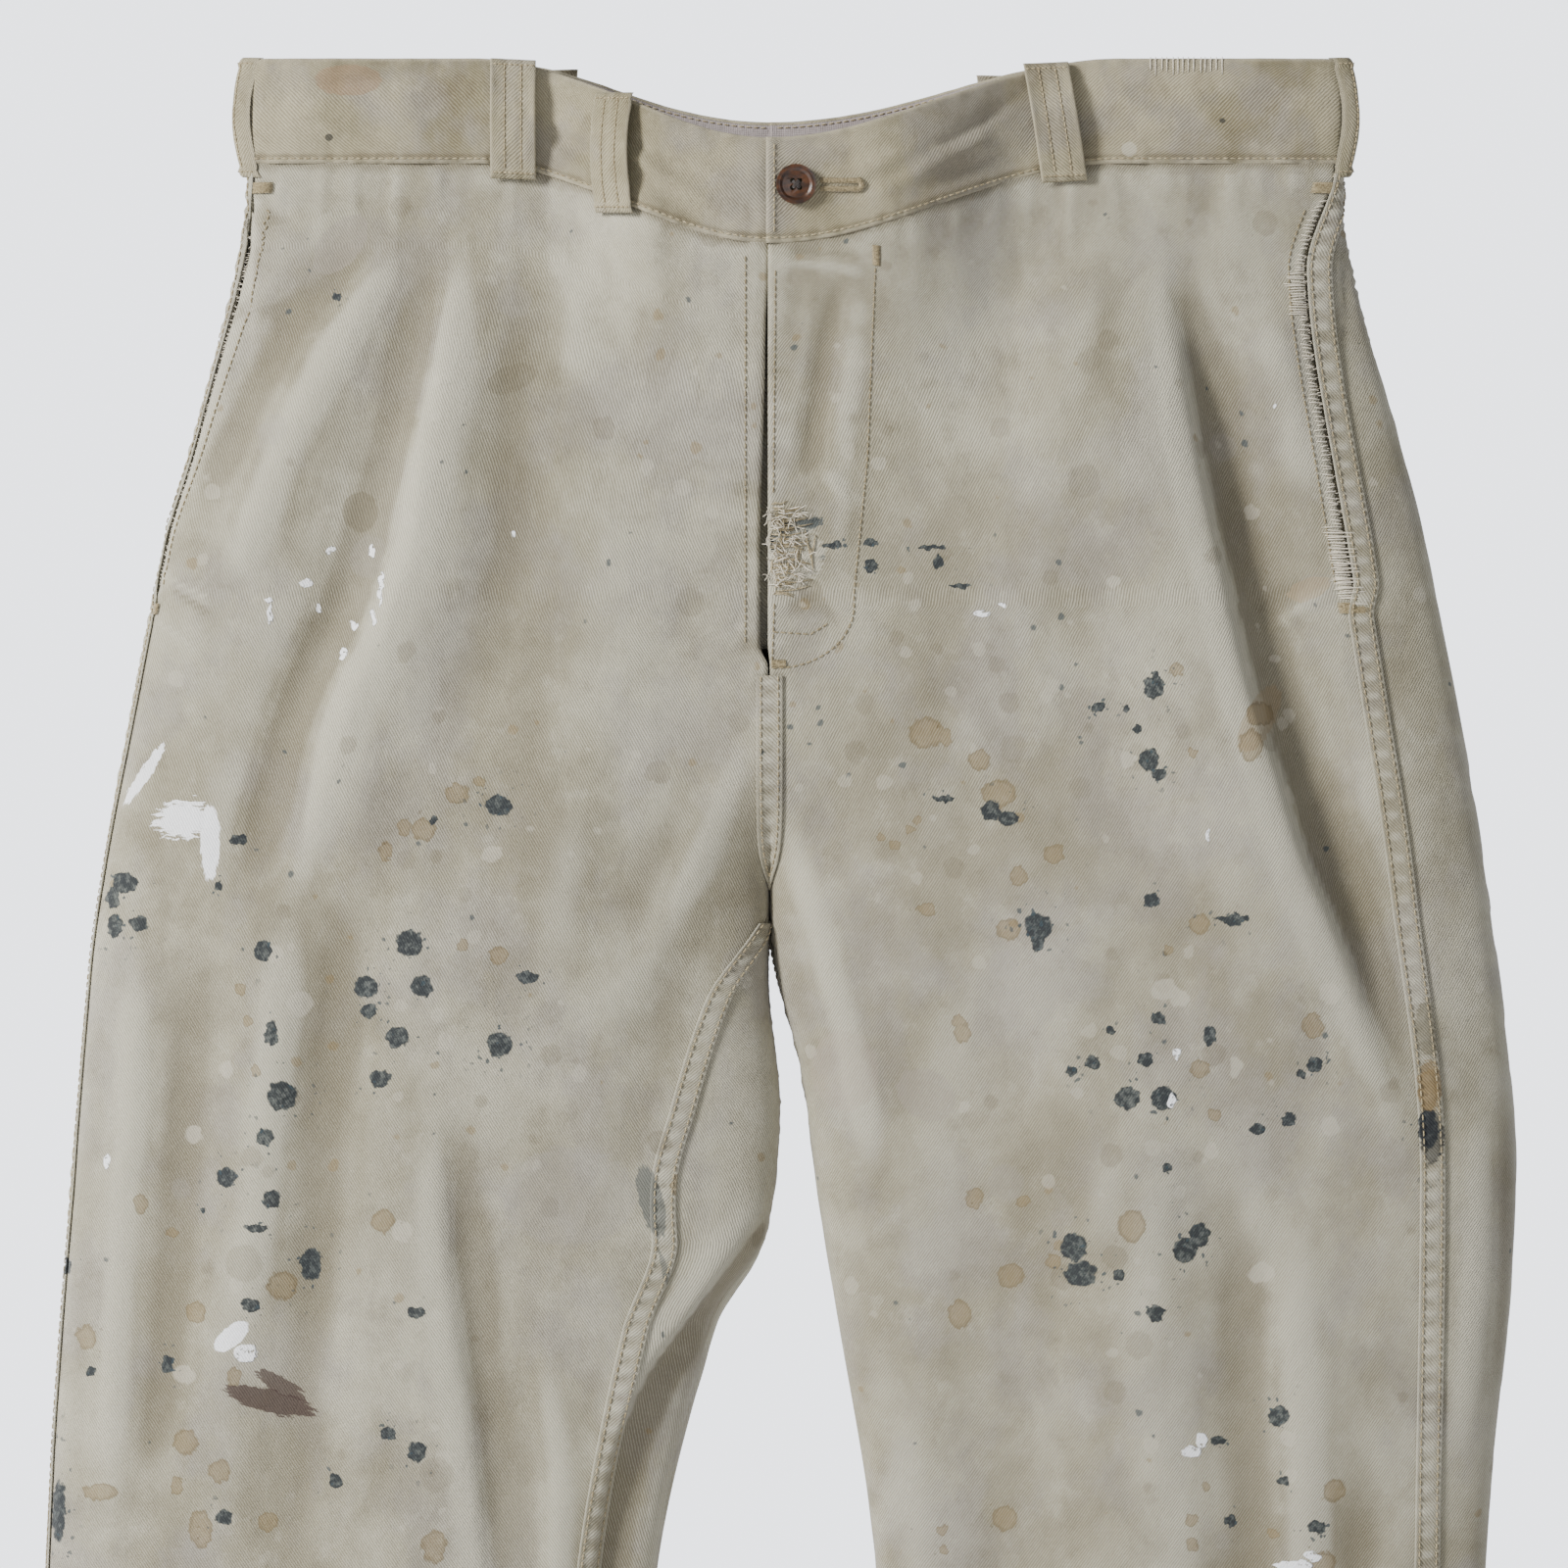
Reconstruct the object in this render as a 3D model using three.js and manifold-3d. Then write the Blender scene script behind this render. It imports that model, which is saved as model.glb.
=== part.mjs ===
// Work trousers, hung by the waistband. Millimetres, +Z up, the front faces -Y.
// The origin is midway between the two places where a clip hanger grips the waistband, at its top edge.
// Right and left are the wearer's, so the right leg is on the -X side.
import * as THREE from 'three';
import { mergeVertices } from 'three/addons/utils/BufferGeometryUtils.js';
import Module from 'manifold-3d';

const wasm = await Module();
wasm.setup();

// ---------------------------------------------------------------- driving dimensions
const GAP = 0.3;              // clearance between neighbouring pieces
const CLOTH = 1.5;            // main cloth, with its turned edges
const LINING = 1.0;           // facings, linings and pocket cloth

const WAIST_WIDTH = 456;      // across the waistband, side to side
const BAND_HEIGHT = 44;
const FRONT_DIP = 35;         // how far the top edge sags at the centre front
const BACK_DIP = 24;
const CLIP_X = 134;           // where the hanger's clips grip
const CLIP_FLAT = 15;         // from a clip's middle to where the band starts to round off to the side
const SAG_START = 29;         // from a clip's middle to where the band starts to bow away, towards the fly
const CLIP_DEPTH = 5.5;       // from the middle plane to the band's outer face at a clip
const CENTRE_X = -11;         // centre front and centre back, as the trousers hang
const FLY_FLAT = 44;          // half the width of the flat front around the fly

const FLY_LENGTH = 176;       // waistband seam to the foot of the fly
const CROTCH_DROP = 99;       // foot of the fly to the crotch
const CROTCH_CURVE_FRONT = 64;
const CROTCH_CURVE_BACK = 114;
const INSEAM = 721;
const THIGH_WIDTH = 292;      // flat widths of a leg, at its levels
const KNEE_WIDTH = 254;
const HEM_WIDTH = 225;
const HEM_HEIGHT = 30;
const SEAM_WIDTH = 11;        // felled seams
const SEAM_PROUD = 1.0;

const FRONT_DEPTH = 30;       // from the middle plane to the front, at the fly
const SEAT_DEPTH = 42;
const KNEE_DEPTH = 27;
const HEM_DEPTH = 22;

const MOUTH_TOP = 10;         // front pocket mouth, below the waistband seam
const MOUTH_LENGTH = 176;
const MOUTH_GAP = 6;
const BAG_LENGTH = 275;
const BAG_HOLLOW = 9;
const BACK_POCKET_DROP = 84;  // waistband seam to the back pocket's mouth
const BACK_POCKET_WIDTH = 128;
const BACK_POCKET_INSET = 62; // centre back to the mouth's near end
const BACK_BAG_LENGTH = 165;
const BACK_BAG_HOLLOW = 7;
const WELT_HEIGHT = 6;
const SLIT_HEIGHT = 5;

const LOOP_WIDTH = 19;
const LOOP_THICK = 1.6;
const LOOP_BOW = 5.6;         // room for a belt behind a loop
const BUTTON_D = 16.5;
const BACK_BUTTON_D = 14;
const BUTTON_THICK = 2.6;
const BUTTON_LIFT = 2.2;      // room under the button for the cloth around the buttonhole
const SHANK_R = 1.2;
const BUTTONHOLE_LENGTH = 26;
const BUTTONHOLE_HEIGHT = 4;
const BUTTON_X = CENTRE_X + 11;
const UNDERLAP_REACH = 34;

const ZIP_X = CENTRE_X + 17;
const TOOTH_WIDTH = 2.5;
const TOOTH_THICK = 2.4;
const TOOTH_PITCH = 6;
const ROW_SPACING = 1.4;      // between the two rows, for the slider's divider
const SLIDER_WIDTH = 9;
const SLIDER_HEIGHT = 9;
const PLATE = 1.0;
const PULL_LENGTH = 19;
const PULL_WIDTH = 5;
const ZIP_STACK = 9;          // front of the cloth to the front of the teeth
const FACING_WIDTH = 44;

// ---------------------------------------------------------------- levels
const Z_SEAM = -BAND_HEIGHT;                       // waistband seam, at the sides
const Z_FLY_TOP = Z_SEAM - FRONT_DIP;
const Z_FLY_FOOT = Z_FLY_TOP - FLY_LENGTH;
const Z_CROTCH = Z_FLY_FOOT - CROTCH_DROP;
const Z_HEM = Z_CROTCH - INSEAM;
const Z_HIP = Z_SEAM - 0.52 * (Z_SEAM - Z_CROTCH);
const Z_THIGH = Z_CROTCH - 0.157 * INSEAM;
const Z_KNEE = Z_CROTCH - 0.384 * INSEAM;
const Z_MOUTH_TOP = Z_SEAM - MOUTH_TOP;
const Z_MOUTH_FOOT = Z_MOUTH_TOP - MOUTH_LENGTH;
const Z_BACK_MOUTH = Z_SEAM - BACK_POCKET_DROP;
const Z_BUTTON = -FRONT_DIP - BAND_HEIGHT * 0.45;
const BACK_MOUTH_SAG = BACK_DIP * 0.12;             // what is left of the waist's sag at the back pockets

const clamp01 = (t) => Math.min(1, Math.max(0, t));
const mix = (a, b, t) => a + (b - a) * t;
const ease = (t) => clamp01(t) ** 2 * (3 - 2 * clamp01(t));
const steps = (from, to, count) => Array.from({ length: count + 1 }, (_, i) => mix(from, to, i / count));

// A smooth curve through [level, value] pairs, highest level first, level beyond its ends.
function through(pairs) {
  const slope = (i) => (pairs[i + 1][1] - pairs[i][1]) / (pairs[i + 1][0] - pairs[i][0]);
  const last = pairs.length - 1;
  const tangent = pairs.map((_, i) => {
    if (i === 0 || i === last) return 0;
    const [before, after] = [slope(i - 1), slope(i)];
    return before * after <= 0 ? 0 : (2 * before * after) / (before + after);
  });
  return (z) => {
    if (z >= pairs[0][0]) return pairs[0][1];
    if (z <= pairs[last][0]) return pairs[last][1];
    const i = pairs.findIndex((pair, k) => k < last && z <= pair[0] && z >= pairs[k + 1][0]);
    const [[z0, v0], [z1, v1]] = [pairs[i], pairs[i + 1]];
    const h = z1 - z0;
    const t = (z - z0) / h;
    return (1 + 2 * t) * (1 - t) ** 2 * v0 + t * (1 - t) ** 2 * h * tangent[i]
      + t * t * (3 - 2 * t) * v1 + t * t * (t - 1) * h * tangent[i + 1];
  };
}

// ---------------------------------------------------------------- the two halves of the body
// Distances across are counted outwards from x = 0 on each side. A place on the skin is given by its
// girth g (0 inner edge, 0.5 front middle, 1 outer edge, 1.5 back middle, 2 inner edge) and its height.
// Insets are how far round the front a seam lies from the edge; below zero it lies on the back.
const HALF = WAIST_WIDTH / 2;
const halves = {
  right: {
    sign: -1,
    outer: through([[Z_SEAM, HALF], [Z_HIP, HALF + 35], [Z_CROTCH, HALF + 62],
      [Z_THIGH, HALF + 73], [Z_KNEE, HALF + 84], [Z_HEM, HALF + 97]]),
    inner: through([[Z_CROTCH, GAP / 2 - CENTRE_X], [Z_CROTCH - 30, GAP + 0.5 - CENTRE_X],
      [Z_CROTCH - 84, HALF + 71 - THIGH_WIDTH], [Z_CROTCH - 137, HALF + 76 - THIGH_WIDTH],
      [Z_CROTCH - 176, HALF + 97 - THIGH_WIDTH], [Z_KNEE, HALF + 84 - KNEE_WIDTH],
      [Z_HEM, HALF + 97 - HEM_WIDTH]]),
    outseamInset: through([[Z_SEAM, 1], [Z_HIP, 0], [Z_HEM, 0]]),
    inseamInset: through([[Z_CROTCH, 0], [Z_CROTCH - 39, 21], [Z_CROTCH - 84, 40], [Z_THIGH, 46],
      [Z_CROTCH - 176, 34], [Z_KNEE, 28], [Z_HEM, 22]]),
  },
  left: {
    sign: 1,
    outer: through([[Z_SEAM, HALF], [Z_HIP, HALF + 35], [Z_CROTCH, HALF + 62],
      [Z_THIGH, HALF + 73], [Z_KNEE, HALF + 60], [Z_HEM, HALF + 47]]),
    inner: through([[Z_CROTCH, GAP / 2 + CENTRE_X], [Z_CROTCH - 31, CENTRE_X + 4],
      [Z_CROTCH - 67, HALF + 66 - THIGH_WIDTH], [Z_CROTCH - 137, HALF + 76 - THIGH_WIDTH],
      [Z_KNEE, HALF + 60 - KNEE_WIDTH], [Z_HEM, HALF + 47 - HEM_WIDTH]]),
    outseamInset: through([[Z_SEAM, 2], [Z_SEAM - 45, 19], [Z_HIP, 33], [Z_CROTCH, 37], [Z_THIGH, 37],
      [Z_KNEE, 26], [Z_HEM, 16]]),
    inseamInset: through([[Z_CROTCH, 0], [Z_THIGH, -12], [Z_HEM, -8]]),
  },
};
const frontDepth = through([[Z_FLY_FOOT - 15, FRONT_DEPTH], [Z_CROTCH, FRONT_DEPTH + 2],
  [Z_KNEE, KNEE_DEPTH], [Z_HEM, HEM_DEPTH]]);
const backDepth = through([[Z_SEAM, FRONT_DEPTH], [Z_HIP, SEAT_DEPTH], [Z_CROTCH, SEAT_DEPTH - 5],
  [Z_KNEE, KNEE_DEPTH], [Z_HEM, HEM_DEPTH]]);
const SEAM_BLEND = 110;       // height over which the waist's section turns into the hip's

const curveStart = (back) => Z_CROTCH + (back ? CROTCH_CURVE_BACK : CROTCH_CURVE_FRONT);
const crotchShare = (z, back) => clamp01((curveStart(back) - z) / (curveStart(back) - Z_CROTCH));
const centreGirth = (z, back) => 0.5 * (1 - crotchShare(z, back));
const centreOut = (half) => half.sign * CENTRE_X + GAP / 2;

// Half the depth of the waistband's section, at a distance out from x = 0.
function bandDepth(half, out, outer, back) {
  const lensStart = half.sign * CENTRE_X + FLY_FLAT;
  const lensEnd = CLIP_X - SAG_START;
  const lens = Math.cos((Math.PI / 2) * clamp01((out - lensStart) / (lensEnd - lensStart))) ** 2;
  const roundStart = CLIP_X + CLIP_FLAT;
  const round = (1 - clamp01((out - roundStart) / (outer - roundStart)) ** 8) ** 0.25;
  return (FRONT_DEPTH - CLIP_DEPTH) * (back ? 0.75 : 1) * lens + CLIP_DEPTH * round;
}

// How far the waistband's top edge sags, at a distance out from x = 0.
function sag(half, out, back) {
  const span = CLIP_X - half.sign * CENTRE_X;
  const share = clamp01((out - half.sign * CENTRE_X) / span);
  return (back ? BACK_DIP : FRONT_DIP) * Math.cos((Math.PI / 2) * share) ** 2;
}

// Half the width of the oval whose arc the section is: the trunk shows half of it, a leg all of it.
function ovalRadius(half, z, back) {
  const inner = z >= Z_CROTCH ? centreOut(half) : half.inner(z);
  const start = Math.cos(Math.PI * ease(centreGirth(z, back)));
  return (half.outer(z) - inner) / (1 + start);
}

// The position on the skin, at a girth and height.
function skin(side, girth, z) {
  const half = halves[side];
  const g = ((girth % 2) + 2) % 2;
  const back = g > 1;
  const angle = Math.PI * ease(back ? 2 - g : g);
  const share = crotchShare(z, back);
  const outer = half.outer(z);
  const radius = ovalRadius(half, z, back);
  const out = outer - radius - radius * Math.cos(angle);
  const flat = FLY_FLAT * (1 - share);
  const reach = Math.max(0, (Math.abs(Math.cos(angle)) * radius - flat) / (radius - flat));
  const oval = (back ? backDepth(z) : frontDepth(z)) * Math.max(0, 1 - reach * reach) ** 0.25;
  const seam = Z_SEAM - sag(half, out, back);
  const blend = ease((seam - z) / SEAM_BLEND);
  const depth = blend < 1 ? mix(bandDepth(half, out, outer, back), oval, blend) : oval;
  return new THREE.Vector3(half.sign * out, back ? depth : -depth, z);
}

// The skin's outward normal.
function normal(side, girth, z) {
  const step = 0.012;
  const along = skin(side, girth + step, z).sub(skin(side, girth - step, z));
  const up = skin(side, girth, z + 1).sub(skin(side, girth, z - 1));
  return along.cross(up).normalize().multiplyScalar(halves[side].sign);
}

const offSkin = (side, girth, z, lift) =>
  skin(side, girth, z).addScaledVector(normal(side, girth, z), lift);

// The girth reached by walking a distance round the section at a height.
function walk(side, girth, z, distance) {
  const step = Math.sign(distance) * 0.0015;
  let here = skin(side, girth, z);
  let walked = 0;
  let g = girth;
  while (walked < Math.abs(distance)) {
    const next = skin(side, g + step, z);
    walked += next.distanceTo(here);
    here = next;
    g += step;
  }
  return g;
}

// The girth of the trunk's front or back at a distance out from x = 0.
function girthAt(side, out, z, back) {
  let [low, high] = back ? [2 - centreGirth(z, true), 1] : [centreGirth(z, false), 1];
  for (let i = 0; i < 40; i++) {
    const middle = (low + high) / 2;
    if (skin(side, middle, z).x * halves[side].sign < out) low = middle;
    else high = middle;
  }
  return (low + high) / 2;
}

// Rows near the waist follow the sagging seam; rows further down are level.
function sagged(side, girth, z) {
  const g = ((girth % 2) + 2) % 2;
  const out = skin(side, g, Z_SEAM).x * halves[side].sign;
  return z - sag(halves[side], out, g > 1) * (1 - ease((Z_SEAM - z) / 170));
}

// ---------------------------------------------------------------- solids
function outward(geometry) {
  const p = geometry.getAttribute('position');
  const index = geometry.getIndex().array;
  let volume = 0;
  for (let i = 0; i < index.length; i += 3) {
    const [a, b, c] = [0, 1, 2].map((k) => new THREE.Vector3().fromBufferAttribute(p, index[i + k]));
    volume += a.dot(b.cross(c));
  }
  if (volume < 0) {
    for (let i = 0; i < index.length; i += 3) {
      [index[i], index[i + 1]] = [index[i + 1], index[i]];
    }
  }
  return geometry;
}

function meshOf(points, faces) {
  const geometry = new THREE.BufferGeometry();
  const numbers = points.flatMap((v) => [v.x, v.y, v.z]);
  geometry.setAttribute('position', new THREE.Float32BufferAttribute(numbers, 3));
  geometry.setIndex(faces.flat());
  return outward(geometry);
}

// A closed slab between two grids of points, rows by columns. A ring's columns join up.
function slab(front, behind, ring = false) {
  const [rows, cols] = [front.length, front[0].length];
  const points = [...front.flat(), ...behind.flat()];
  const at = (layer, i, j) => layer * rows * cols + i * cols + (j % cols);
  const faces = [];
  const quad = (a, b, c, d) => faces.push([a, b, c], [a, c, d]);
  const spans = ring ? cols : cols - 1;
  for (let i = 0; i < rows - 1; i++) {
    for (let j = 0; j < spans; j++) {
      quad(at(0, i, j), at(0, i, j + 1), at(0, i + 1, j + 1), at(0, i + 1, j));
      quad(at(1, i, j), at(1, i + 1, j), at(1, i + 1, j + 1), at(1, i, j + 1));
    }
    if (!ring) {
      quad(at(0, i, 0), at(0, i + 1, 0), at(1, i + 1, 0), at(1, i, 0));
      quad(at(0, i, cols - 1), at(1, i, cols - 1), at(1, i + 1, cols - 1), at(0, i + 1, cols - 1));
    }
  }
  for (let j = 0; j < spans; j++) {
    quad(at(0, 0, j), at(1, 0, j), at(1, 0, j + 1), at(0, 0, j + 1));
    quad(at(0, rows - 1, j), at(0, rows - 1, j + 1), at(1, rows - 1, j + 1), at(1, rows - 1, j));
  }
  return meshOf(points, faces);
}

// A piece of cloth on the skin: its levels, the girths of its columns at a level, and two lifts.
function sheet(side, levels, columnsAt, liftOut, liftIn, ring = false) {
  const columns = levels.map(columnsAt);
  const grid = (lift) => levels.map((z, i) => columns[i].map((girth) => {
    const height = typeof lift === 'function' ? lift(z) : lift;
    return offSkin(side, girth, sagged(side, girth, z), height);
  }));
  return slab(grid(liftOut), grid(liftIn), ring);
}

// The same between two edges, with evenly spaced columns.
const cloth = (side, levels, from, to, cols, liftOut, liftIn) =>
  sheet(side, levels, (z) => steps(from(z), to(z), cols), liftOut, liftIn);

function solid(geometry) {
  const bare = new THREE.BufferGeometry();
  bare.setAttribute('position', geometry.getAttribute('position').clone());
  if (geometry.getIndex()) bare.setIndex(geometry.getIndex().clone());
  const merged = mergeVertices(bare, 1e-4);
  return new wasm.Manifold(new wasm.Mesh({
    numProp: 3,
    vertProperties: new Float32Array(merged.getAttribute('position').array),
    triVerts: new Uint32Array(merged.getIndex().array),
  }));
}

function geometryOf(manifold) {
  const mesh = manifold.getMesh();
  const geometry = new THREE.BufferGeometry();
  geometry.setAttribute('position', new THREE.BufferAttribute(mesh.vertProperties, 3));
  geometry.setIndex(new THREE.BufferAttribute(mesh.triVerts, 1));
  return geometry;
}

// Cuts the cutters away and keeps the main body, without the slivers that a cut can leave.
function without(geometry, ...cutters) {
  const left = cutters.reduce((body, cutter) => body.subtract(solid(cutter)), solid(geometry));
  const [main] = left.decompose().sort((a, b) => b.volume() - a.volume());
  return geometryOf(main);
}
const joined = (...geometries) =>
  geometryOf(geometries.map(solid).reduce((body, next) => body.add(next)));

// A box given by its lowest and highest corners.
function box(low, high) {
  const size = high.map((v, i) => v - low[i]);
  const geometry = new THREE.BoxGeometry(...size);
  return geometry.translate(...low.map((v, i) => v + size[i] / 2));
}

// A flat plate in the XZ plane, from a shape drawn in (x, z), with its front at y.
function plate(shape, y, thick) {
  const geometry = new THREE.ExtrudeGeometry(shape, { depth: thick, bevelEnabled: false, curveSegments: 6 });
  return geometry.rotateX(Math.PI / 2).translate(0, y + thick, 0);
}

// An outline in (x, y) drawn upwards between two heights.
function upright(points, low, high) {
  const shape = new THREE.Shape(points.map(([x, y]) => new THREE.Vector2(x, y)));
  return new THREE.ExtrudeGeometry(shape, { depth: high - low, bevelEnabled: false }).translate(0, 0, low);
}

// A strip of cloth that follows a path of [x, y] points, as an outline.
function strip(path, thick) {
  return [...path, ...path.map(([x, y]) => [x, y + thick]).reverse()];
}

const trousers = new THREE.Group();
const palette = {
  twill: { color: 0xb2aa98, roughness: 0.92, metalness: 0 },
  lining: { color: 0xbeb6b4, roughness: 0.95, metalness: 0 },
  horn: { color: 0x4b2a16, roughness: 0.3, metalness: 0 },
  thread: { color: 0x9c8f74, roughness: 0.9, metalness: 0 },
  darkThread: { color: 0x2b2422, roughness: 0.9, metalness: 0 },
  tape: { color: 0xa39a82, roughness: 0.9, metalness: 0 },
  brass: { color: 0xa98842, roughness: 0.35, metalness: 1 },
};

function add(name, geometry, finish, parent = trousers) {
  const mesh = new THREE.Mesh(geometry, new THREE.MeshStandardMaterial(palette[finish]));
  mesh.name = name;
  parent.add(mesh);
  return mesh;
}

const unique = (list) => list.filter((z, i) => i === 0 || Math.abs(z - list[i - 1]) > 0.5);

// ---------------------------------------------------------------- waistband and its lining
const bandTop = (side, girth) => sagged(side, girth, Z_SEAM) + BAND_HEIGHT;

function band(side, liftOut, liftIn, top, foot) {
  const clipIn = girthAt(side, CLIP_X - SAG_START, Z_SEAM, false);
  const clipOut = girthAt(side, CLIP_X + CLIP_FLAT, Z_SEAM, false);
  const fly = girthAt(side, halves[side].sign * CENTRE_X + FLY_FLAT, Z_SEAM, false);
  const front = [...steps(0.5, fly, 2), ...steps(fly, clipIn, 5), ...steps(clipIn, clipOut, 1),
    ...steps(clipOut, 0.985, 6), 1];
  const girths = unique(front.map((g) => g * 1000)).map((g) => g / 1000);
  const loop = [...girths, ...girths.slice(0, -1).reverse().map((g) => 2 - g)];
  const row = (lift, drop) => loop.map((girth) => {
    const level = bandTop(side, girth) - drop;
    return offSkin(side, girth, Z_SEAM + BAND_HEIGHT / 2, lift).setZ(level);
  });
  const grid = (lift) => [row(lift, top), row(lift, foot)];
  return slab(grid(liftOut), grid(liftIn));
}

// Cloth that is sewn into the band ends a clearance below it.
const LINING_LIFT = -(CLOTH + GAP);
const KEPT_INSIDE = LINING_LIFT - LINING - 0.2;
function underBand(geometry) {
  return without(geometry,
    ...['right', 'left'].map((side) => band(side, 4, KEPT_INSIDE, -5, BAND_HEIGHT + GAP)));
}

const holeAt = (clear) => box([BUTTON_X - BUTTONHOLE_HEIGHT / 2, -FRONT_DEPTH - 20, Z_BUTTON - clear],
  [BUTTON_X + BUTTONHOLE_LENGTH, -FRONT_DEPTH + 4, Z_BUTTON + clear]);

for (const side of ['right', 'left']) {
  const outer = band(side, 0, -CLOTH, 0, BAND_HEIGHT);
  const inner = band(side, LINING_LIFT, LINING_LIFT - LINING, 1, BAND_HEIGHT);
  const slot = holeAt(BUTTONHOLE_HEIGHT / 2);
  add(`${side}_waistband`, side === 'left' ? without(outer, slot) : outer, 'twill');
  const clearOfBand = without(inner, band(side, GAP, -CLOTH - GAP, -2, BAND_HEIGHT + 2));
  add(`${side}_waistband_lining`, side === 'left' ? without(clearOfBand, slot) : clearOfBand, 'lining');
}
const underlapFront = -FRONT_DEPTH + CLOTH + LINING + 2 * GAP;
add('waistband_underlap', box(
  [CENTRE_X - 12, underlapFront, Z_FLY_TOP + 1],
  [CENTRE_X + UNDERLAP_REACH, underlapFront + CLOTH, -FRONT_DIP - 4],
), 'twill');

// ---------------------------------------------------------------- the four panels
const mouthPull = (z) => MOUTH_GAP * Math.min(
  clamp01((Z_MOUTH_TOP - z) / MOUTH_GAP), clamp01((z - Z_MOUTH_FOOT) / MOUTH_GAP));
const inMouth = (z) => z < Z_MOUTH_TOP && z > Z_MOUTH_FOOT;
const heights = [
  Z_SEAM + 2, Z_MOUTH_TOP, Z_MOUTH_TOP - MOUTH_GAP,
  ...steps(Z_MOUTH_TOP - 22, Z_SEAM - SEAM_BLEND, 4),
  ...steps(Z_SEAM - SEAM_BLEND - 22, Z_MOUTH_FOOT + MOUTH_GAP, 2), Z_MOUTH_FOOT, curveStart(false) + 30,
  ...steps(curveStart(false), Z_CROTCH + 4, 3), Z_CROTCH - 8, ...steps(Z_CROTCH - 40, Z_KNEE, 4),
  ...steps(Z_KNEE, Z_HEM, 3).slice(1),
];
// The girth of a seam that lies an inset away from the inner or the outer edge.
const uneased = (t) => 0.5 - Math.sin(Math.asin(1 - 2 * t) / 3);
function seamGirth(side, z, inset, outerEdge) {
  const girth = uneased(Math.acos(1 - Math.abs(inset) / ovalRadius(halves[side], z, inset < 0)) / Math.PI);
  return outerEdge ? 1 - girth : Math.sign(inset) * girth;
}
const outseamGirth = (side, z) => seamGirth(side, z, halves[side].outseamInset(z), true);
const inseamGirth = (side, z) => seamGirth(side, z, halves[side].inseamInset(z), false);
const across = (side, z, away) => walk(side, outseamGirth(side, z), z, away);
const outseamEdge = (side, away) => (z) => across(side, z, away);

function insideEdge(side, back, away) {
  return (z) => {
    const girth = z > Z_CROTCH ? centreGirth(z, back) : inseamGirth(side, z);
    if (!back) return z > Z_CROTCH ? girth : walk(side, girth, z, away);
    return z > Z_CROTCH ? 2 - girth : walk(side, 2 + girth, z, -away);
  };
}

// The cutter of a back pocket's slit.
function backMouth(side) {
  const { sign } = halves[side];
  const near = CENTRE_X + sign * BACK_POCKET_INSET;
  const far = near + sign * BACK_POCKET_WIDTH;
  const middle = Z_BACK_MOUTH - BACK_MOUTH_SAG;
  return box([Math.min(near, far), 2, middle - SLIT_HEIGHT / 2],
    [Math.max(near, far), SEAT_DEPTH + 20, middle + SLIT_HEIGHT / 2]);
}

// Columns of a panel: the outer two on each edge are half a seam apart, where the seams' edges lie.
function spread(side, z, start, end, count) {
  const first = walk(side, start, z, SEAM_WIDTH / 2);
  const last = walk(side, end, z, -SEAM_WIDTH / 2);
  return [start, ...steps(first, last, count), end];
}
function frontColumns(side, z, pull = mouthPull(z)) {
  const start = insideEdge(side, false, GAP / 2)(z);
  const end = across(side, z, -GAP / 2 - pull);
  return spread(side, z, start, end, 8);
}
function backColumns(side, z) {
  const [start, end] = [across(side, z, GAP / 2), insideEdge(side, true, GAP / 2)(z)];
  return spread(side, z, start, end, 12);
}
const frontPanel = (side, liftOut, liftIn, pull) =>
  sheet(side, heights, (z) => frontColumns(side, z, pull), liftOut, liftIn);
const backPanel = (side, liftOut, liftIn) =>
  sheet(side, heights, (z) => backColumns(side, z), liftOut, liftIn);
// The other half's side of the centre seams, down to just below the crotch.
function farSide(side) {
  const edges = side === 'left' ? [-100, CENTRE_X + GAP / 2] : [CENTRE_X - GAP / 2, 100];
  return box([edges[0], -80, Z_CROTCH - 14], [edges[1], 80, 0]);
}
// Cloth inside or outside the shell is kept a clearance off its panels.
function offShell(side, geometry) {
  return without(geometry, frontPanel(side, GAP, -CLOTH - GAP), backPanel(side, GAP, -CLOTH - GAP));
}
for (const side of ['right', 'left']) {
  add(`${side}_front_panel`, underBand(without(frontPanel(side, 0, -CLOTH), farSide(side))), 'twill');
  add(`${side}_back_panel`, underBand(without(backPanel(side, 0, -CLOTH), farSide(side),
    frontPanel(side, GAP, -CLOTH - GAP), backMouth(side))), 'twill');
}

// ---------------------------------------------------------------- felled seams and hems
const below = (z) => heights.filter((h) => h <= z + 0.01);
const seamLift = GAP + SEAM_PROUD;
for (const side of ['right', 'left']) {
  const outseam = (z) => [...frontColumns(side, z, 0).slice(-2), ...backColumns(side, z).slice(0, 2)];
  add(`${side}_outseam`, sheet(side, below(Z_MOUTH_FOOT), outseam, seamLift, GAP), 'twill');
  const backEdge = (z) => backColumns(side, z).slice(-2).map((g) => g - 2);
  const inseam = (z) => [...backEdge(z), ...frontColumns(side, z).slice(0, 2)];
  add(`${side}_inseam`, sheet(side, below(Z_CROTCH - 30), inseam, seamLift, GAP), 'twill');
  const round = (z) => [...frontColumns(side, z), ...backColumns(side, z)];
  const hemFront = -CLOTH - 2 * GAP;
  const turnUp = sheet(side, [Z_HEM + HEM_HEIGHT, Z_HEM], round, hemFront, hemFront - LINING, true);
  add(`${side}_hem`, turnUp, 'twill');
}

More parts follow.
